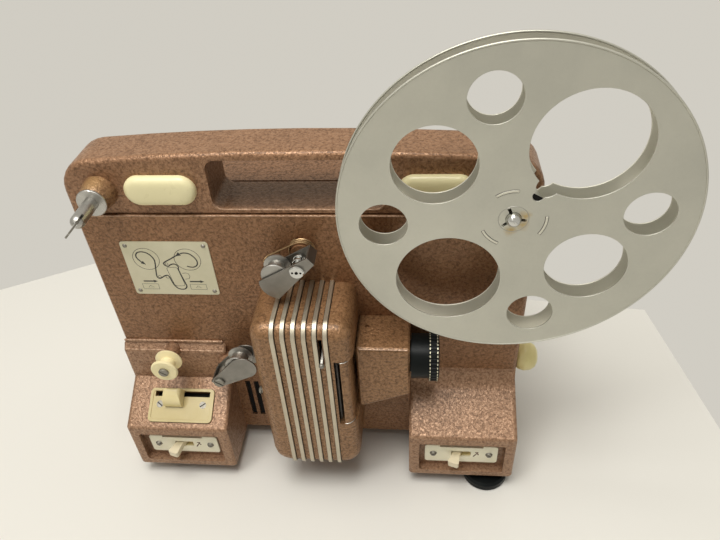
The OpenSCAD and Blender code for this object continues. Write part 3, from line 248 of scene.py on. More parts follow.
hammer_paint("left_paint", *CONSOLE_TONES, painted_shade=switch_recess(-1))
hammer_paint("right_paint", *CONSOLE_TONES, painted_shade=switch_recess(1))
hammer_paint("panel_paint", (0.125, 0.058, 0.024), (0.247, 0.121, 0.055), (0.318, 0.165, 0.082))
hammer_paint("slab_paint", (0.148, 0.073, 0.036), (0.282, 0.147, 0.076), (0.357, 0.197, 0.109),
             painted_shade=HAND_HOLE)
hammer_paint("rear_paint", (0.070, 0.031, 0.014), (0.205, 0.101, 0.049), (0.265, 0.139, 0.073))
# A lighter copy of the hammer paint, for painted highlights along edges
hammer_paint("highlight_paint", (0.26, 0.150, 0.090), (0.44, 0.275, 0.175), (0.55, 0.37, 0.25))
hammer_paint("warm_paint", (0.125, 0.060, 0.025), (0.262, 0.137, 0.061), (0.335, 0.182, 0.089))
hammer_paint("boss_paint", (0.14, 0.072, 0.035), (0.28, 0.155, 0.078), (0.34, 0.20, 0.105), wear_and_highlights=BOSS_WEAR)
plastic("cream", (0.84, 0.71, 0.37), (0.90, 0.78, 0.44), 0.34, speck=(0.66, 0.52, 0.24))
plastic("roller_cream", (0.92, 0.80, 0.45), (0.95, 0.84, 0.51), 0.34, speck=(0.72, 0.58, 0.28))
plastic("plate_cream", (0.515, 0.415, 0.18), (0.58, 0.48, 0.235), 0.36, speck=(0.46, 0.35, 0.14))
plastic("knob_cream", (0.92, 0.80, 0.36), (0.96, 0.85, 0.42), 0.3, waves=12.0)
plastic("toggle_cream", (0.74, 0.65, 0.45), (0.80, 0.71, 0.51), 0.36, speck=(0.60, 0.48, 0.28))
plastic("pill_cream", (0.88, 0.80, 0.47), (0.91, 0.83, 0.50), 0.3, waves=12.0)
plastic("pale_cream", (0.90, 0.85, 0.64), (0.95, 0.90, 0.70), 0.4, speck=(0.72, 0.62, 0.40))
plastic("ink", (0.014, 0.013, 0.012), (0.03, 0.028, 0.024), 0.5)
# Brown print for the switch marks, also used for the painted shadow round the speed control's plate
plastic("brown_print_and_shade", (0.10, 0.05, 0.025), (0.16, 0.085, 0.04), 0.5)
plastic("rim_line_brown", (0.38, 0.28, 0.12), (0.50, 0.39, 0.18), 0.6)
metal("print_plate", (0.61, 0.575, 0.41), (0.68, 0.64, 0.475), 0.40, metallic=0.35)
reel_metal("reel", (0.49, 0.485, 0.425), (0.585, 0.575, 0.50), GLUE)
# A lighter, less metallic copy of the reel's aluminium: painted light on the rear flange seen between the
# flanges
reel_metal("reel_back", (0.70, 0.68, 0.58), (0.78, 0.755, 0.645), [], 0.4)
# A lighter copy of the reel's aluminium: painted light on the raised tabs
metal("reel_tab_lit", (0.66, 0.64, 0.54), (0.74, 0.72, 0.61), 0.4, metallic=0.5)
metal("rib", (0.47, 0.42, 0.33), (0.57, 0.52, 0.415), 0.44, (30.0, 1.0, 1.0))
metal("chrome", (0.52, 0.52, 0.50), (0.66, 0.66, 0.64), 0.16, strength=0.04)
metal("satin", (0.40, 0.39, 0.365), (0.52, 0.51, 0.48), 0.32, (1.0, 12.0, 1.0))
metal("screw", (0.23, 0.22, 0.19), (0.33, 0.31, 0.27), 0.5)
metal("steel", (0.34, 0.33, 0.305), (0.44, 0.43, 0.40), 0.4, (1.0, 1.0, 12.0))
metal("lever_steel", (0.205, 0.195, 0.175), (0.285, 0.27, 0.245), 0.42, (1.0, 1.0, 12.0))
metal("dark_steel", (0.10, 0.09, 0.085), (0.16, 0.15, 0.14), 0.5, metallic=0.7)
metal("wire", (0.38, 0.26, 0.14), (0.48, 0.34, 0.19), 0.42)
metal("gear", (0.50, 0.36, 0.14), (0.60, 0.45, 0.20), 0.35)
plastic("black", (0.004, 0.005, 0.005), (0.008, 0.010, 0.010), 0.36, shine=0.12)
plastic("black_matt", (0.006, 0.006, 0.006), (0.012, 0.011, 0.010), 0.7, shine=0.1)
plastic("rubber", (0.012, 0.013, 0.012), (0.024, 0.025, 0.023), 0.5)
glass("glass", (0.86, 0.92, 0.94))

NODE_MATERIALS = {
    "left_paint": "left_console",
    "right_paint": "right_console",
    "panel_paint": "front_panel",
    "slab_paint": "front_slab",
    "rear_paint": "rear_housing",
    "warm_paint": "lamphouse_cover lens_carrier pressure_gate",
    "boss_paint": "spindle_bosses",
    "pill_cream": "control_pills",
    "knob_cream": "inching_knob",
    "toggle_cream": "motor_toggle lamp_toggle",
    "cream": "speed_knob switch_bodies",
    "roller_cream": "guide_roller",
    "plate_cream": "speed_plate",
    "pale_cream": "switch_plates",
    "print_plate": "thread_plate",
    "reel": "reel_front_flange reel_rear_flange reel_hub",
    "rib": "lamphouse_ribs",
    "chrome": "supply_spindle upper_post",
    "satin": "takeup_spindle",
    "screw": "small_fasteners lower_post guide_post takeup_latch",
    "steel": "upper_roller lower_roller main_shaft motor_shaft lay_shaft",
    "lever_steel": "upper_lever lower_lever framing_lever",
    "dark_steel": "gate_plate back_cover shaft_bracket motor transformer shutter",
    "wire": "upper_spring",
    "gear": "worm_wheel",
    "black": "lens_barrel focus_ring elevating_foot",
    "black_matt": "lamp_socket mains_inlet takeup_pulley main_pulley lay_pulley fan",
    "rubber": "feet drive_belts",
    "glass": "lamp condenser lens_elements",
}

# Shading: smooth below one angle between faces, and edges softened above another, in degrees
SMOOTH_ANGLE, EDGE_ANGLE = 38.0, 40.0
# Edges of CAD nodes that are softened so that they catch the light, in millimetres
SOFT_EDGES = {
    "front_panel": 0.5, "thread_plate": 0.15, "speed_plate": 0.2, "switch_plates": 0.25, "speed_knob": 0.8,
    "motor_toggle": 0.5, "lamp_toggle": 0.5, "lamphouse_ribs": 0.35, "upper_lever": 0.2, "lower_lever": 0.2,
    "pressure_gate": 0.4, "elevating_foot": 0.4, "inching_knob": 0.4, "takeup_latch": 0.2, "gate_plate": 0.15,
}


def shading_group(angle):
    """A modifier's tree: joins split edges and shades smooth below an angle."""
    tree = bpy.data.node_groups.new("smooth_below", "GeometryNodeTree")
    tree.interface.new_socket("Geometry", in_out="INPUT", socket_type="NodeSocketGeometry")
    tree.interface.new_socket("Geometry", in_out="OUTPUT", socket_type="NodeSocketGeometry")
    start, end = tree.nodes.new("NodeGroupInput"), tree.nodes.new("NodeGroupOutput")
    weld = tree.nodes.new("GeometryNodeMergeByDistance")
    weld.inputs["Distance"].default_value = 0.005 * MM
    faces = tree.nodes.new("GeometryNodeSetShadeSmooth")
    edges = tree.nodes.new("GeometryNodeSetShadeSmooth")
    faces.domain, edges.domain = "FACE", "EDGE"
    fold = tree.nodes.new("GeometryNodeInputMeshEdgeAngle")
    below = tree.nodes.new("FunctionNodeCompare")
    below.operation = "LESS_THAN"
    below.inputs[1].default_value = math.radians(angle)
    join = tree.links.new
    join(start.outputs[0], weld.inputs[0])
    join(weld.outputs[0], faces.inputs[0])
    join(faces.outputs[0], edges.inputs[0])
    join(fold.outputs["Unsigned Angle"], below.inputs[0])
    join(below.outputs[0], edges.inputs["Shade Smooth"])
    join(edges.outputs[0], end.inputs[0])
    return tree


SMOOTH = shading_group(SMOOTH_ANGLE)


def dress(obj, material):
    """Give a piece its material, and smooth shading with its edges kept."""
    obj.data.materials.clear()
    obj.data.materials.append(MATERIALS[material])
    obj.modifiers.new("smooth", "NODES").node_group = SMOOTH
    if obj.name in SOFT_EDGES:
        edge = obj.modifiers.new("edge", "BEVEL")
        edge.width, edge.segments, edge.limit_method = SOFT_EDGES[obj.name] * MM, 2, "ANGLE"
        edge.angle_limit = math.radians(EDGE_ANGLE)
    obj.modifiers.new("weighted", "WEIGHTED_NORMAL").keep_sharp = True


for material, names in NODE_MATERIALS.items():
    for name in names.split():
        dress(nodes[name], material)

# Pieces of this script


def add_piece(name, mesh, material, body, slot, *stands_for):
    """A piece that rides a body, and may stand for nodes of the frame."""
    obj = bpy.data.objects.new(name, mesh)
    bpy.context.scene.collection.objects.link(obj)
    dress(obj, material)
    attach(obj, body)
    if stands_for:
        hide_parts(*stands_for)


def mesh_of(name, verts, faces):
    """A mesh with its faces turned outwards; the corners are metres in the shared frame."""
    mesh = bpy.data.meshes.new(name)
    mesh.from_pydata(verts, [], faces)
    work = bmesh.new()
    work.from_mesh(mesh)
    bmesh.ops.recalc_face_normals(work, faces=work.faces)
    work.to_mesh(mesh)
    work.free()
    return mesh


def joined(name, parts):
    """One mesh from several lists of corners and faces."""
    verts, faces = [], []
    for part_verts, part_faces in parts:
        first = len(verts)
        verts += part_verts
        faces += [tuple(first + i for i in face) for face in part_faces]
    return mesh_of(name, verts, faces)


def rings(loops, closed=False):
    """Skin between loops with the same number of points, with flat ends unless closed."""
    count = len(loops[0])
    verts = [p for loop in loops for p in loop]
    faces = []
    for k in range(len(loops) if closed else len(loops) - 1):
        a, b = k * count, (k + 1) % len(loops) * count
        faces += [(a + j, a + (j + 1) % count, b + (j + 1) % count, b + j) for j in range(count)]
    if not closed:
        faces += [tuple(range(count))[::-1], tuple(range(len(verts) - count, len(verts)))]
    return verts, faces


def turned_y(x, z, y, profile, sides=64, closed=False):
    """A turned form about an axis along Y; the profile holds radius and distance towards the viewer."""
    angles = [2 * math.pi * k / sides for k in range(sides)]
    loops = [[at(x + r * math.cos(a), y - d, z + r * math.sin(a)) for a in angles] for r, d in profile]
    return rings(loops, closed)


def drawn(name, splines, place, **settings):
    """A mesh from poly curves; each spline is its points in millimetres and whether it is closed."""
    curve = bpy.data.curves.new(name, "CURVE")
    for key, value in settings.items():
        setattr(curve, key, value)
    for points, closed in splines:
        spline = curve.splines.new("POLY")
        spline.points.add(len(points) - 1)
        spline.use_cyclic_u = closed
        for point, co in zip(spline.points, points):
            point.co = (*co, 1.0) if len(co) == 3 else (*co, 0.0, 1.0)
    obj = bpy.data.objects.new(name, curve)
    bpy.context.scene.collection.objects.link(obj)
    mesh = bpy.data.meshes.new_from_object(obj.evaluated_get(bpy.context.evaluated_depsgraph_get()))
    bpy.data.objects.remove(obj)
    bpy.data.curves.remove(curve)
    for vertex in mesh.vertices:
        vertex.co = place(*vertex.co)
    mesh.materials.clear()
    mesh.name = name
    return mesh


def sheet(name, loops, thick, edge, place):
    """A flat sheet with holes and rounded edges; its middle plane is the drawing's plane."""
    return drawn(name, [(loop, True) for loop in loops], place, dimensions="2D", fill_mode="BOTH",
                 extrude=thick / 2 - edge, bevel_depth=edge, bevel_resolution=2, offset=-edge)


def strokes(name, splines, radius, place):
    """Round lines along poly curves."""
    return drawn(name, splines, place, dimensions="3D", bevel_depth=radius, bevel_resolution=2,
                 use_fill_caps=True)


def facing(x, y, z, depth=1.0):
    """A way to place a drawing on an upright face, pressed flatter by a depth below one."""
    def place(u, v, w):
        return at(x + u, y - w * depth, z + v)
    return place


def eased(points, steps=6):
    """A smooth curve through the points."""
    out = []
    for k in range(len(points) - 1):
        p0, p1 = Vector(points[max(k - 1, 0)]), Vector(points[k])
        p2, p3 = Vector(points[k + 1]), Vector(points[min(k + 2, len(points) - 1)])
        for j in range(steps):
            t = j / steps
            out.append(tuple(0.5 * (2 * p1 + (p2 - p0) * t + (2 * p0 - 5 * p1 + 4 * p2 - p3) * t * t
                                    + (3 * p1 - p0 - 3 * p2 + p3) * t ** 3)))
    return out + [tuple(points[-1])]


def circle(x, y, r, count=48, start=0.0, end=360.0):
    """Points of a circle, or of an arc between two angles in degrees."""
    first, span = math.radians(start), math.radians(end - start)
    last = count if abs(end - start) >= 360.0 else count - 1
    angles = [first + span * k / last for k in range(count)]
    return [(x + r * math.cos(a), y + r * math.sin(a)) for a in angles]


def round_rect(wide, high, r):
    """Outline of a plate with round corners."""
    out = []
    for x, y, a in ((1, 1, 0.0), (-1, 1, 90.0), (-1, -1, 180.0), (1, -1, 270.0)):
        out += circle(x * (wide / 2 - r), y * (high / 2 - r), r, 8, a, a + 90.0)
    return out


def bead(r, wide, high, count):
    """Profile of a ring of oval section: its radius, half width and half height."""
    angles = [k * math.pi / (count / 2) for k in range(count)]
    return [(r + wide * math.cos(a), high * math.sin(a)) for a in angles]


# Reel: two flanges with rounded hole edges, a rolled rim and stamped tabs

# The holes' places and radii and how far the film slot reaches are shares of the reel's radius
BIG_FAR, BIG_R, MID_FAR, MID_R, SMALL_FAR, SMALL_R = 0.565, 0.312, 0.56, 0.236, 0.73, 0.14
MID_TURNS, SMALL_TURNS = (143.0, 323.0), (2.5, 102.5, 183.5, 283.5)
SLOT_TURN, SLOT_FAR, SLOT_HALF, MOUTH_FAR = 52.0, 0.19, 2.8, 0.26
SLOT_END_R, SLOT_END_IN = 2.7, 0.65
BORE_R, KEY_R, KEY_HALF = 3.95, 6.6, 0.8
# Turn of each key slot and of the one that follows it
KEY_TURNS = (-9.0, 114.0), (114.0, 219.0), (219.0, 351.0)
FLANGE_EDGE, RIM_IN, RIM_W, RIM_H = 0.2, 1.0, 0.55, 0.62
TAB_R, TAB_SPAN, TAB_TURNS = 16.2, 20.0, (106.0, -14.0, 226.0)
TAB_HALF, TAB_THICK, TAB_EDGE, TAB_LINE_HALF, TAB_LINE = 0.62, 0.5, 0.2, 0.78, 0.16
PRESS_R, PRESS_W, PRESS_H = 7.5, 0.18, 0.12


def bitten_hole():
    """The large upper hole together with the slot that runs from it towards the hub."""
    far, radius, turn, half = REEL_R * BIG_FAR, REEL_R * BIG_R, math.radians(SLOT_TURN), SLOT_HALF
    slot_end, mouth, edge = far - REEL_R * SLOT_FAR, far - REEL_R * MOUTH_FAR, 0.26
    turns = [edge * (k / 40.0 - 1.0) for k in range(80)]
    turns += [edge + (2 * math.pi - 2 * edge) * k / 150.0 for k in range(150)]
    out = []
    for a in turns:
        reach = radius
        if abs(a) < edge:
            reach = max(reach, min(slot_end / math.cos(a), half / max(abs(math.sin(a)), 0.001)))
            for off, r in ((slot_end, half), (mouth, 2 * half)):
                if abs(off * math.sin(a)) < r:
                    reach = max(reach, off * math.cos(a) + math.sqrt(r * r - (off * math.sin(a)) ** 2))
        out.append((far - reach * math.cos(a), reach * math.sin(a)))
    c, s = math.cos(turn), math.sin(turn)
    return [(c * x - s * y, s * x + c * y) for x, y in out]


def keyed_bore():
    """The bore with its three key slots."""
    out = []
    wide = math.degrees(math.asin(KEY_HALF / BORE_R))
    for turn, following in KEY_TURNS:
        c, s = math.cos(math.radians(turn)), math.sin(math.radians(turn))
        out.append((c * KEY_R + s * KEY_HALF, s * KEY_R - c * KEY_HALF))
        out.append((c * KEY_R - s * KEY_HALF, s * KEY_R + c * KEY_HALF))
        out += circle(0.0, 0.0, BORE_R, 14, turn + wide, following - wide)
    return out


def hole(far, turn, radius):
    """A round hole of a flange."""
    a = math.radians(turn)
    return circle(REEL_R * far * math.cos(a), REEL_R * far * math.sin(a), REEL_R * radius, 72)


def arc_slot(turn, half):
    """Outline of a stamped tab, a band along a circle round the hub."""
    start, end = turn - TAB_SPAN, turn + TAB_SPAN
    return circle(0.0, 0.0, TAB_R + half, 16, start, end) + circle(0.0, 0.0, TAB_R - half, 16, end, start)


flange_loops = [circle(0.0, 0.0, REEL_R - RIM_IN, 160), bitten_hole(), keyed_bore()]
flange_loops += [hole(BIG_FAR, SLOT_TURN + 180.0, BIG_R)]
flange_loops += [hole(MID_FAR, turn, MID_R) for turn in MID_TURNS]
flange_loops += [hole(SMALL_FAR, turn, SMALL_R) for turn in SMALL_TURNS]


def add_flange(side, y, face_y, finish):
    """One flange with its rim, its tabs and the painted shade round them, from its middle plane and outer
    face.
    """
    name = "reel_" + side
    flange = sheet(name, flange_loops, SHEET, FLANGE_EDGE, facing(REEL_X, y, REEL_Z))
    add_piece(name, flange, finish, "supply", "satin_alu", name + "_flange")
    name = "reel_rim_" + side
    rim = turned_y(REEL_X, REEL_Z, y, bead(REEL_R - RIM_W, RIM_W, RIM_H, 12), 160, True)
    add_piece(name, joined(name, [rim]), "reel", "supply", "satin_alu")
    on_face = facing(REEL_X, face_y, REEL_Z)
    name = "reel_tabs_" + side
    tabs = [arc_slot(turn, TAB_HALF) for turn in TAB_TURNS]
    add_piece(name, sheet(name, tabs, TAB_THICK, TAB_EDGE, on_face), "reel_tab_lit", "supply", "satin_alu")
    # Painted shade: dark outlines round the tabs
    name = "reel_tab_shade_" + side
    edges = [(arc_slot(turn, TAB_LINE_HALF), True) for turn in TAB_TURNS]
    add_piece(name, strokes(name, edges, TAB_LINE, on_face), "dark_steel", "supply", "satin_alu")


front_y, rear_y = REEL_FRONT + SHEET / 2, REEL_FRONT + REEL_WIDE - SHEET / 2
add_flange("front", front_y, front_y - SHEET / 2, "reel")
# The rear flange takes the lighter copy of the aluminium, painted light between the flanges
add_flange("rear", rear_y, rear_y + SHEET / 2, "reel_back")
# Painted shadow at the end of the film slot, where the space between the flanges shows
slot_far, slot_turn = REEL_R * SLOT_FAR, math.radians(SLOT_TURN)
slot_u, slot_v = slot_far * math.cos(slot_turn), slot_far * math.sin(slot_turn)
slot_end = circle(slot_u, slot_v, SLOT_END_R, 24, 150.0, 330.0)
in_slot = facing(REEL_X, REEL_FRONT + SLOT_END_IN, REEL_Z)
add_piece("reel_slot_shadow", sheet("reel_slot_shadow", [slot_end], 0.3, 0.05, in_slot),
          "black_matt", "supply", "satin_alu")
press_ring = turned_y(REEL_X, REEL_Z, REEL_FRONT, bead(PRESS_R, PRESS_W, PRESS_H, 8), 64, True)
add_piece("reel_press_ring", joined("reel_press_ring", [press_ring]), "steel", "supply", "satin_alu")

# Threading plate: a drawing of the film's way between the two reels, with bars for its letters
PLATE_X, PLATE_Z, PLATE_Y = -83.5, 166.2, -0.6
DRAWN_REELS, DRAWN_REEL_R = ((-13.5, 7.6), (12.2, 7.3)), 8.1
BARS_U, BARS_V = (-15.6, 14.0), -9.9
BOXES_U, BOX_HALF, BOX_LOW, BOX_HIGH = (-16.1, 14.5), 5.1, -16.3, -12.1
FILM_LINE, THIN_LINE, BAR_LINE, LINE_PRESS, HEAD_PRESS = 0.42, 0.16, 0.5, 0.15, 0.3
on_plate = facing(PLATE_X, PLATE_Y, PLATE_Z, LINE_PRESS)

film_way = [(-16.5, 4.6), (-18.5, 7.2), (-19.3, 9.6), (-18.2, 12.0), (-15.6, 13.0), (-12.6, 12.5),
            (-10.2, 10.6), (-8.7, 7.6), (-8.6, 4.8), (-9.4, 0.2), (-10.2, -5.2), (-9.8, -7.1), (-8.5, -7.6),
            (-7.2, -6.9), (-4.6, -5.3), (-3.1, -5.2), (-2.2, -6.7), (-1.6, -9.8), (-0.8, -12.8), (1.0, -15.5),
            (3.6, -16.3), (5.8, -15.7), (7.0, -13.8), (6.8, -11.7), (5.8, -6.7), (4.9, -1.4), (4.8, 0.2),
            (5.2, 1.7), (4.2, 3.4), (2.7, 3.9), (0.9, 3.4), (-0.9, 2.1), (-2.4, 2.5), (-3.4, 3.9),
            (-2.6, 5.2), (1.8, 7.8), (6.2, 10.5), (8.3, 11.6)]
film_end = [(8.6, 11.8), (11.1, 12.4), (14.2, 11.7), (16.8, 9.0), (17.9, 5.9), (17.2, 3.2), (15.1, 1.7),
            (12.9, 1.7), (10.8, 2.3)]
film = [(eased(film_way), False), (eased(film_end), False)]
add_piece("film_path", strokes("film_path", film, FILM_LINE, on_plate), "ink", "chassis", "print_plate")
machine = [(-1.8, 1.0), (3.4, 1.4), (4.4, 0.2), (6.2, -12.2), (5.4, -13.4), (0.6, -13.6), (-0.6, -12.4),
           (-2.4, 0.2)]
thin = [(circle(u, v, DRAWN_REEL_R), True) for u, v in DRAWN_REELS] + [(machine, True)]
thin += [(circle(u, v, r, 20), True) for u, v, r in ((-8.4, -6.2, 0.9), (-3.4, -6.3, 1.1), (-1.6, 3.9, 0.9))]
thin += [([(6.6, -3.4), (8.6, -3.0), (10.2, -3.6), (10.8, -5.6), (10.0, -7.6), (7.4, -8.0)], False)]
for u in BOXES_U:
    left, right = u - BOX_HALF, u + BOX_HALF
    thin.append(([(left, BOX_LOW), (right, BOX_LOW), (right, BOX_HIGH), (left, BOX_HIGH)], True))
    thin.append(([(u - 1.8, -14.9), (u - 0.2, -13.4), (u + 1.8, -14.9)], True))
add_piece("plate_lines", strokes("plate_lines", thin, THIN_LINE, on_plate), "ink", "chassis", "print_plate")
bars = [([(u - 4.2, BARS_V), (u + 3.2, BARS_V)], False) for u in BARS_U]
add_piece("plate_bars", strokes("plate_bars", bars, BAR_LINE, on_plate), "ink", "chassis", "print_plate")


def arrow(tip, toward, size):
    """A filled head at a point, looking away from another point."""
    ahead = Vector(tip) - Vector(toward)
    ahead.normalize()
    back, side = Vector(tip) - ahead * size, Vector((-ahead.y, ahead.x)) * size * 0.42
    return [tuple(tip), tuple(back + side), tuple(back - side)]


heads = [arrow((-14.6, 3.2), (-17.4, 5.6), 3.0), arrow((5.4, 10.0), (8.6, 11.9), 3.4)]
heads += [arrow((u + 5.0, BARS_V), (u, BARS_V), 2.6) for u in BARS_U]
head_sheet = sheet("plate_arrows", heads, 0.3, 0.05, facing(PLATE_X, PLATE_Y, PLATE_Z, HEAD_PRESS))
add_piece("plate_arrows", head_sheet, "ink", "chassis", "print_plate")

# Domed caps on the band, each with a shallow notch in its lower edge
PILL_X, PILL_Z, PILL_W, PILL_H, PILL_T, BAND_Y = 76.0, 221.6, 41.0, 18.0, 5.2, 1.5
NOTCH_HALF, NOTCH_DEEP = 6.5, 0.85
# The dome's section: how far in, as a share of the half height, and out, as a share of the thickness
PILL_DOME = [(0.0, 0.0), (0.0, 0.30), (0.012, 0.42), (0.05, 0.56), (0.11, 0.69), (0.19, 0.80), (0.29, 0.885),
             (0.42, 0.945), (0.58, 0.98), (0.78, 0.998), (0.95, 1.0)]


def pill(x):
    """One cap: loops of its outline, each further in and further out from the band."""
    half, notch = PILL_W / 2 - PILL_H / 2, -PILL_H / 2 + NOTCH_DEEP
    loops = []
    for depth, rise in PILL_DOME:
        r = PILL_H / 2 * (1.0 - depth)
        top = [(half - 2 * half * k / 12, r) for k in range(1, 12)]
        low = [(-half + 2 * half * k / 12, -r) for k in range(1, 12)]
        loop = circle(half, 0.0, r, 25, -90.0, 90.0) + top
        loop += circle(-half, 0.0, r, 25, 90.0, 270.0) + low
        loop = [(u, max(v, notch) if abs(u) < NOTCH_HALF else v) for u, v in loop]
        loops.append([at(x + u, BAND_Y - PILL_T * rise, PILL_Z + v) for u, v in loop])
    return rings(loops)


add_piece("pills", joined("pills", [pill(-PILL_X), pill(PILL_X)]), "pill_cream", "chassis", "cream",
          "control_pills")

# Spring of the upper lever: round wire, wound on the boss, with its tail bent to the lever's back plate
SPRING_R, SPRING_TURNS, SPRING_PITCH, SPRING_END, SPRING_Y, WIRE_R = 7.2, 3, 1.6, 118.0, -1.2, 0.5
SPRING_STEPS, TAIL_STOPS, TAIL_END = 36, (1.5, 4.0, 9.0, 14.0, 18.5), 20.5


def spring_path():
    """The wire's middle line: its turns, then its straight tail with a hook."""
    out = []
    for k in range(SPRING_TURNS * SPRING_STEPS + 1):
        a = math.radians(SPRING_END + 360.0 * (k / SPRING_STEPS - SPRING_TURNS))
        out.append((UPPER_X + SPRING_R * math.cos(a), SPRING_Y - SPRING_PITCH * k / SPRING_STEPS,
                    UPPER_Z + SPRING_R * math.sin(a)))
    leave = math.radians(SPRING_END)
    start, ahead = Vector(out[-1]), Vector((-math.sin(leave), 0.0, math.cos(leave)))
    tail = [tuple(start + ahead * t) for t in TAIL_STOPS]
    end = start + ahead * TAIL_END
    hook = [(end.x, end.y - 0.9, end.z - 0.4), (end.x - 0.5, end.y - 3.2, end.z - 0.8)]
    return out + eased(tail + hook, 5)


add_piece("lever_spring", strokes("lever_spring", [(spring_path(), False)], WIRE_R, at),
          "wire", "chassis", "spring_brass", "upper_spring")

# Collars on the upper lever's post, seen between its two plates
COLLAR = [(2.5, 0.0), (3.3, 0.0), (3.6, 0.3), (3.6, 1.2), (3.3, 1.5), (2.5, 1.5)]
COLLARS_Y = (-12.0, -15.4, -19.6)
collars = [turned_y(UPPER_X, UPPER_Z, y, COLLAR, 40) for y in COLLARS_Y]
add_piece("post_collars", joined("post_collars", collars), "chrome", "chassis", "bright_metal")

# Bright marks on the two knurled edges of the focus ring: worn bare metal, and partly a painted glint on the
# knurls
LENS_Y, LENS_Z = -16.5, 111.5
RING_EDGES, KNURLS, MARK_LOW, MARK_HIGH = (74.55, 79.05), 40, 15.35, 15.56
MARK_HALF, MARK_TURN = 0.3, math.radians(2.3)
MARK_CORNERS = [(-MARK_HALF, -MARK_TURN), (MARK_HALF, -MARK_TURN), (MARK_HALF, MARK_TURN),
                (-MARK_HALF, MARK_TURN)]


def knurl_wear_and_glint(x, a):
    """A bright patch on one knurl, partly a painted glint."""
    loops = []
    for r in (MARK_LOW, MARK_HIGH):
        loops.append([at(x + along, LENS_Y + r * math.cos(a + turn), LENS_Z + r * math.sin(a + turn))
                      for along, turn in MARK_CORNERS])
    return rings(loops)


marks = [knurl_wear_and_glint(x, math.radians(360.0 / KNURLS * k)) for x in RING_EDGES for k in range(KNURLS)]
add_piece("ring_wear_and_glints", joined("ring_wear_and_glints", marks), "print_plate", "ring", "black_metal")

# Painted shade: thin dark strips beside the cooling ribs
HOUSE_D, HOUSE_LOW, HOUSE_HIGH, HOUSE_R = 42.5, 29.0, 157.0, 8.0
RIB_PITCH, RIB_COUNT = 6.1, 6
RIB_SHADE_IN, RIB_SHADE_OUT, RIB_SHADE_LOW, RIB_SHADE_HIGH = 1.2, 1.62, -0.1, 0.12


def house_line(grow):
    """Side view of the lamp house from the panel over its top and down its front."""
    r = HOUSE_R + grow
    top = circle(-HOUSE_D + HOUSE_R, HOUSE_HIGH - HOUSE_R, r, 12, 90.0, 180.0)
    low = circle(-HOUSE_D + HOUSE_R, HOUSE_LOW + HOUSE_R, r, 8, 180.0, 232.0)
    return [(0.0, HOUSE_HIGH + grow)] + top + low


def rib_shade_strip(x0, x1):
    """A thin strip that follows the lamp house between two places across."""
    line = zip(house_line(RIB_SHADE_LOW), house_line(RIB_SHADE_HIGH))
    return rings([[at(x0, *a), at(x1, *a), at(x1, *b), at(x0, *b)] for a, b in line])


shade_strips = []
for k in range(RIB_COUNT):
    x = (k - (RIB_COUNT - 1) / 2) * RIB_PITCH
    shade_strips += [rib_shade_strip(x - RIB_SHADE_OUT, x - RIB_SHADE_IN), rib_shade_strip(x + RIB_SHADE_IN, x + RIB_SHADE_OUT)]
add_piece("rib_shade_strips", joined("rib_shade_strips", shade_strips), "black_matt", "chassis", "rib_alu")

# Small blocks and bars, and the left console's slope that some of them lie on
SLOPE, SLOPE_Y, SLOPE_Z = math.radians(31.0), -4.2, 71.19


def block_of(low, high):
    """A block between two corners."""
    corners = [(low[0], low[1]), (high[0], low[1]), (high[0], high[1]), (low[0], high[1])]
    return rings([[at(x, y, z) for x, y in corners] for z in (low[2], high[2])])


def on_slope(u, v, w):
    """A place on the left console's slope: across, up the slope and out from it."""
    c, s = math.cos(SLOPE), math.sin(SLOPE)
    return at(u, SLOPE_Y + v * c - w * s, SLOPE_Z + v * s + w * c)


def bar_corners(length, wide, turn):
    """Corners of a bar turned round its middle, in degrees."""
    c, s = math.cos(math.radians(turn)), math.sin(math.radians(turn))
    return [(a * length / 2 * c - b * wide / 2 * s, a * length / 2 * s + b * wide / 2 * c)
            for a, b in ((-1, -1), (1, -1), (1, 1), (-1, 1))]


def slope_bar(u, v, w, length, wide, thick, turn=0.0):
    """A small bar on the slope, turned in it."""
    loop = bar_corners(length, wide, turn)
    return rings([[on_slope(u + x, v + y, h) for x, y in loop] for h in (w, w + thick)])


def front_bar(x, y, z, length, wide, thick, turn):
    """A small bar on an upright face, turned clockwise in it."""
    loop = bar_corners(length, wide, -turn)
    return rings([[at(x + u, h, z + v) for u, v in loop] for h in (y, y - thick)])


# Painted shade: dark sheets in the speed control's slot, in and behind the vents, and on a wall of the film
# opening
VENTS_X, VENT_Z, VENT_W, VENT_H, VENT_R, VENT_RIM = (-53.0, -47.0), 45.0, 2.5, 36.0, 0.4, 0.5
SPEED_SLOT_UP, SPEED_SLOT_OUT, SPEED_SLOT_W, SPEED_SLOT_H = -12.2, -6.0, 38.8, 3.5
OPENING_X, OPENING_LOW, OPENING_HIGH = 18.55, 74.5, 131.5
shade_blocks = [slope_bar(SPEED_X, SPEED_SLOT_UP, SPEED_SLOT_OUT, SPEED_SLOT_W, SPEED_SLOT_H, 0.5)]
shade_blocks += [block_of((-56.0, 4.8, 25.0), (-44.0, 5.2, 65.0))]
vent_half, vent_low, vent_high = VENT_W / 2 - 0.05, VENT_Z - VENT_H / 2, VENT_Z + VENT_H / 2
shade_blocks += [block_of((x - vent_half, 0.7, vent_low), (x + vent_half, 4.4, vent_high)) for x in VENTS_X]
shade_blocks += [block_of((OPENING_X + 0.02, -42.2, OPENING_LOW + 0.1),
                     (OPENING_X + 0.16, -38.6, OPENING_HIGH - 0.1))]
add_piece("shade_sheets", joined("shade_sheets", shade_blocks), "black_matt", "chassis", "black_metal")

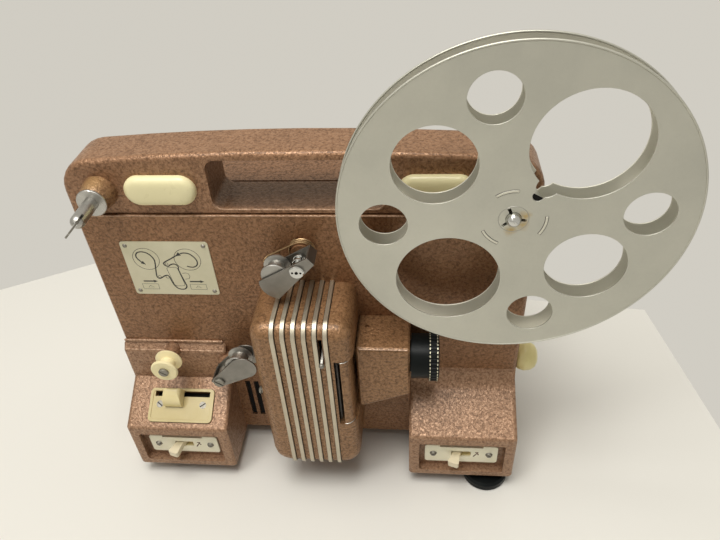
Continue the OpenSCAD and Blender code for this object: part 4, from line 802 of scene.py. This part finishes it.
# Painted shade round the two vents in the panel, which makes them look wider: each a larger outline with a
# smaller one cut out
vents = []
for x in VENTS_X:
    for rim in (2 * VENT_RIM, 0.0):
        outline = round_rect(VENT_W + rim, VENT_H + rim, VENT_R)
        vents.append([(x + u, VENT_Z + v) for u, v in outline])
add_piece("vent_shade_rims", sheet("vent_shade_rims", vents, 0.08, 0.01, facing(0.0, 0.0, 0.0)),
          "black_matt", "chassis", "black_metal")

# Painted shade: dark bars in the slots of the plates' screws and of two posts, and dark plugs in the spanner
# holes of the upper lever's post
CUT_WIDE, CUT_THICK, POST_CUT_WIDE, POST_CUT_SHORT = 0.66, 0.1, 0.8, 0.4
SWITCH_SCREW, SWITCH_SCREW_OUT, SWITCH_CUT, SWITCH_CUT_TURN = 18.8, 0.62, 3.9, 25.0
SPEED_SCREW, SPEED_SCREW_UP, SPEED_SCREW_OUT, SPEED_CUT, CUT_TURN = 15.2, -19.4, 1.1, 4.5, 35.0
# Heads of the guide's and the lower lever's posts by place and radius, holes by side and radius
POST_HEADS, POST_HEAD_Y = ((-98.0, 97.5, 3.3), (-62.3, 89.0, 3.6)), -23.95
SPANNER_HOLES, SPANNER_PITCH, SPANNER_Y = ((-1, 0.62), (0, 0.95), (1, 0.62)), 2.31, -23.85
slots = [front_bar(side * SWITCH_X + s * SWITCH_SCREW, SWITCH_FACE - SWITCH_SCREW_OUT, SWITCH_Z,
                   SWITCH_CUT, CUT_WIDE, CUT_THICK, SWITCH_CUT_TURN * s)
         for side in (-1, 1) for s in (-1, 1)]
slots += [slope_bar(SPEED_X + s * SPEED_SCREW, SPEED_SCREW_UP, SPEED_SCREW_OUT, SPEED_CUT, CUT_WIDE,
                    CUT_THICK, CUT_TURN * s) for s in (-1, 1)]
slots += [front_bar(x, POST_HEAD_Y, z, 2 * r - POST_CUT_SHORT, POST_CUT_WIDE, CUT_THICK, CUT_TURN)
          for x, z, r in POST_HEADS]
slots += [turned_y(UPPER_X + k * SPANNER_PITCH, UPPER_Z, SPANNER_Y, [(r, 0.0), (r, 0.94)], 20)
          for k, r in SPANNER_HOLES]
add_piece("screw_slot_shade", joined("screw_slot_shade", slots), "black_matt", "chassis", "bright_metal")

# A darker line along the rim of the speed control's plate, and painted shadow round the plate
SPEED_UP = -19.9


def round_speed_plate(out, depth):
    """A way to place a drawing round the plate's middle, out from the slope."""
    def place(u, v, w):
        return on_slope(SPEED_X + u, SPEED_UP + v, out + w * depth)
    return place


rim_loop, shade = [(round_rect(41.4, 19.4, 2.0), True)], [(round_rect(45.3, 23.3, 3.2), True)]
add_piece("plate_rim_line", strokes("plate_rim_line", rim_loop, 0.2, round_speed_plate(1.0, 0.5)),
          "rim_line_brown", "chassis", "cream")
add_piece("plate_shade", strokes("plate_shade", shade, 0.22, round_speed_plate(0.05, 1.0)),
          "brown_print_and_shade", "chassis", "cream")

# Bright edges at the two ends of the sprung gate
GATE_X, GATE_Y, GATE_R, GATE_ENDS, GATE_LINE = 21.95, -36.5, 6.0, (75.0, 131.0), 0.22
GATE_START = (21.9, -42.45)
gate_edge = [GATE_START] + circle(GATE_X, GATE_Y, GATE_R, 9, 270.0, 360.0)
ends = [([(x, y, z) for x, y in gate_edge], False) for z in GATE_ENDS]
add_piece("gate_edges", strokes("gate_edges", ends, GATE_LINE, at), "satin", "gate", "bright_metal")

# Painted highlights along the edges of the panel, the hand hole's lip, the lens carrier and the ledge over
# the left console
PANEL_X, PANEL_Y, PANEL_Z, PANEL_R = 122.0, 0.35, 197.0, 7.65
LIP_X, LIP_Y, LIP_Z, LIP_R = 42.5, 1.85, 214.3, 6.35
CARRIER_ENDS, CARRIER_Y, CARRIER_Z = (32.0, 61.0), -29.35, 129.35
LEDGE_ENDS, LEDGE_EDGES = (-131.5, -63.2), ((-0.75, 103.75), (-3.35, 97.25))
HIGHLIGHT_LINE, LEDGE_LINE = 0.5, 0.55


def two_corners(x, z, r, start, middle, end):
    """A line round two mirrored corners, with the straight run between them."""
    return circle(-x, z, r, 10, start, middle) + circle(x, z, r, 10, middle, end)


panel_edge = two_corners(PANEL_X, PANEL_Z, PANEL_R, 180.0, 90.0, 0.0)
lip_edge = two_corners(LIP_X, LIP_Z, LIP_R, 200.0, 270.0, 340.0)
wear_and_highlights = [([(x, PANEL_Y, z) for x, z in panel_edge], False), ([(x, LIP_Y, z) for x, z in lip_edge], False)]
wear_and_highlights += [([(x, CARRIER_Y, CARRIER_Z) for x in CARRIER_ENDS], False)]
add_piece("edge_highlights", strokes("edge_highlights", wear_and_highlights, HIGHLIGHT_LINE, at), "highlight_paint", "chassis", "hammer_paint")
ledge = [([(x, y, z) for x in LEDGE_ENDS], False) for y, z in LEDGE_EDGES]
add_piece("ledge_highlight", strokes("ledge_highlight", ledge, LEDGE_LINE, at), "highlight_paint", "chassis", "hammer_paint")

# Small marks beside the switches, without letters
SWITCH_MARK = [([(8.4, -2.6), (9.6, -0.6), (11.4, 2.0)], False), ([(9.4, 2.1), (11.6, 2.1)], False),
               ([(11.2, 0.6), (11.8, -0.6)], False)]
for side, name in ((-1.0, "switch_mark_left"), (1.0, "switch_mark_right")):
    on_switch = facing(side * SWITCH_X, SWITCH_FACE, SWITCH_Z, 0.2)
    add_piece(name, strokes(name, SWITCH_MARK, 0.45, on_switch), "brown_print_and_shade", "chassis", "cream")

# Table top, with its far edges where the photo shows them
TABLE = [(-3840, -1715), (-272, 212), (273, 150), (720, -2780), (-3840, -2780)]
table_mesh = bpy.data.meshes.new("table")
table_mesh.from_pydata([at(x, y, 0.0) for x, y in TABLE], [], [tuple(range(len(TABLE)))[::-1]])
table = bpy.data.objects.new("table", table_mesh)
bpy.context.scene.collection.objects.link(table)
cover = Graph("table", Roughness=0.7)
cover.set(Base_Color=cover.ramp(cover.noise(2.0), (0.3, (0.745, 0.725, 0.67)), (0.7, (0.765, 0.745, 0.69))))
table_mesh.materials.append(cover.mat)

# Lights: one large above, a weak one in front, and one for the gloss on each console
AIM, LEFT_AIM, RIGHT_AIM = (40, 0, 120), (-95, -20, 60), (97, -20, 60)
LAMP_TONE, FILL_TONE = (1.0, 0.985, 0.95), (1.0, 0.98, 0.95)


def area_light(name, place, aim, size, power, colour):
    """A round lamp at a place, turned to what it aims at; its size is metres and its power watts."""
    data = bpy.data.lights.new(name, "AREA")
    data.shape, data.size, data.energy, data.color = "DISK", size, power, colour
    obj = bpy.data.objects.new(name, data)
    obj.location = at(*place)
    obj.rotation_euler = (at(*aim) - obj.location).to_track_quat("-Z", "Y").to_euler()
    bpy.context.scene.collection.objects.link(obj)


area_light("key", (-120, -230, 1500), AIM, 0.8, 16.0, LAMP_TONE)
area_light("fill", (-500, -1100, 900), AIM, 0.5, 0.8, FILL_TONE)
area_light("gloss_left", (-560, -590, 1344), LEFT_AIM, 0.35, 2.8, LAMP_TONE)
area_light("gloss_right", (205, -629, 1428), RIGHT_AIM, 0.35, 1.2, LAMP_TONE)

# Surroundings: a dim room in front of the table and a pale wall behind it, from front to back
ROOM_TONES = [(0.46, (0.155, 0.152, 0.145)), (0.60, (0.60, 0.575, 0.515)), (0.86, (0.60, 0.575, 0.515)),
              (0.99, (0.67, 0.64, 0.575))]
WALL_TONE = (0.635, 0.608, 0.545)
world = bpy.data.worlds.new("studio")
bpy.context.scene.world = world
world.use_nodes = True
room = Tree(world.node_tree)
looking = room.node("ShaderNodeTexCoord").outputs["Generated"]
back = room.node("ShaderNodeSeparateXYZ", {"Vector": looking}).outputs["Y"]
back = room.node("ShaderNodeMapRange", {"Value": back, "From Min": -1.0, "From Max": 1.0}).outputs["Result"]
# The camera, gloss and glass see the pale wall on every side
rays = room.node("ShaderNodeLightPath").outputs
seen = room.math("MAXIMUM", rays["Is Camera Ray"], rays["Is Glossy Ray"])
seen = room.math("MAXIMUM", seen, rays["Is Transmission Ray"])
backdrop = room.mix(seen, room.ramp(back, *ROOM_TONES), WALL_TONE)
room.plug(world.node_tree.nodes["Background"].inputs["Color"], backdrop)

# Camera, fitted to the photo: its place, its axes, and its focal length in pixels of the photo's width
EYE = (66.33, -284.78, 399.45)
RIGHT = Vector((0.99574, 0.07733, -0.05026))
DOWN = Vector((0.01004, -0.63258, -0.77443))
AHEAD = Vector((-0.09168, 0.77063, -0.63066))
FOCAL_PIXELS, PHOTO_PIXELS, SENSOR = 622.75, 720.0, 36.0
camera = bpy.data.objects.new("camera", bpy.data.cameras.new("camera"))
camera.data.sensor_width = SENSOR
camera.data.lens = FOCAL_PIXELS / PHOTO_PIXELS * SENSOR
camera.data.clip_start, camera.data.clip_end = 0.01, 50.0
turn = Matrix((RIGHT, -DOWN, -AHEAD)).transposed()
camera.matrix_world = Matrix.Translation(at(*EYE)) @ turn.to_4x4()
bpy.context.scene.collection.objects.link(camera)
bpy.context.scene.camera = camera
bpy.context.scene.view_settings.view_transform = "Standard"
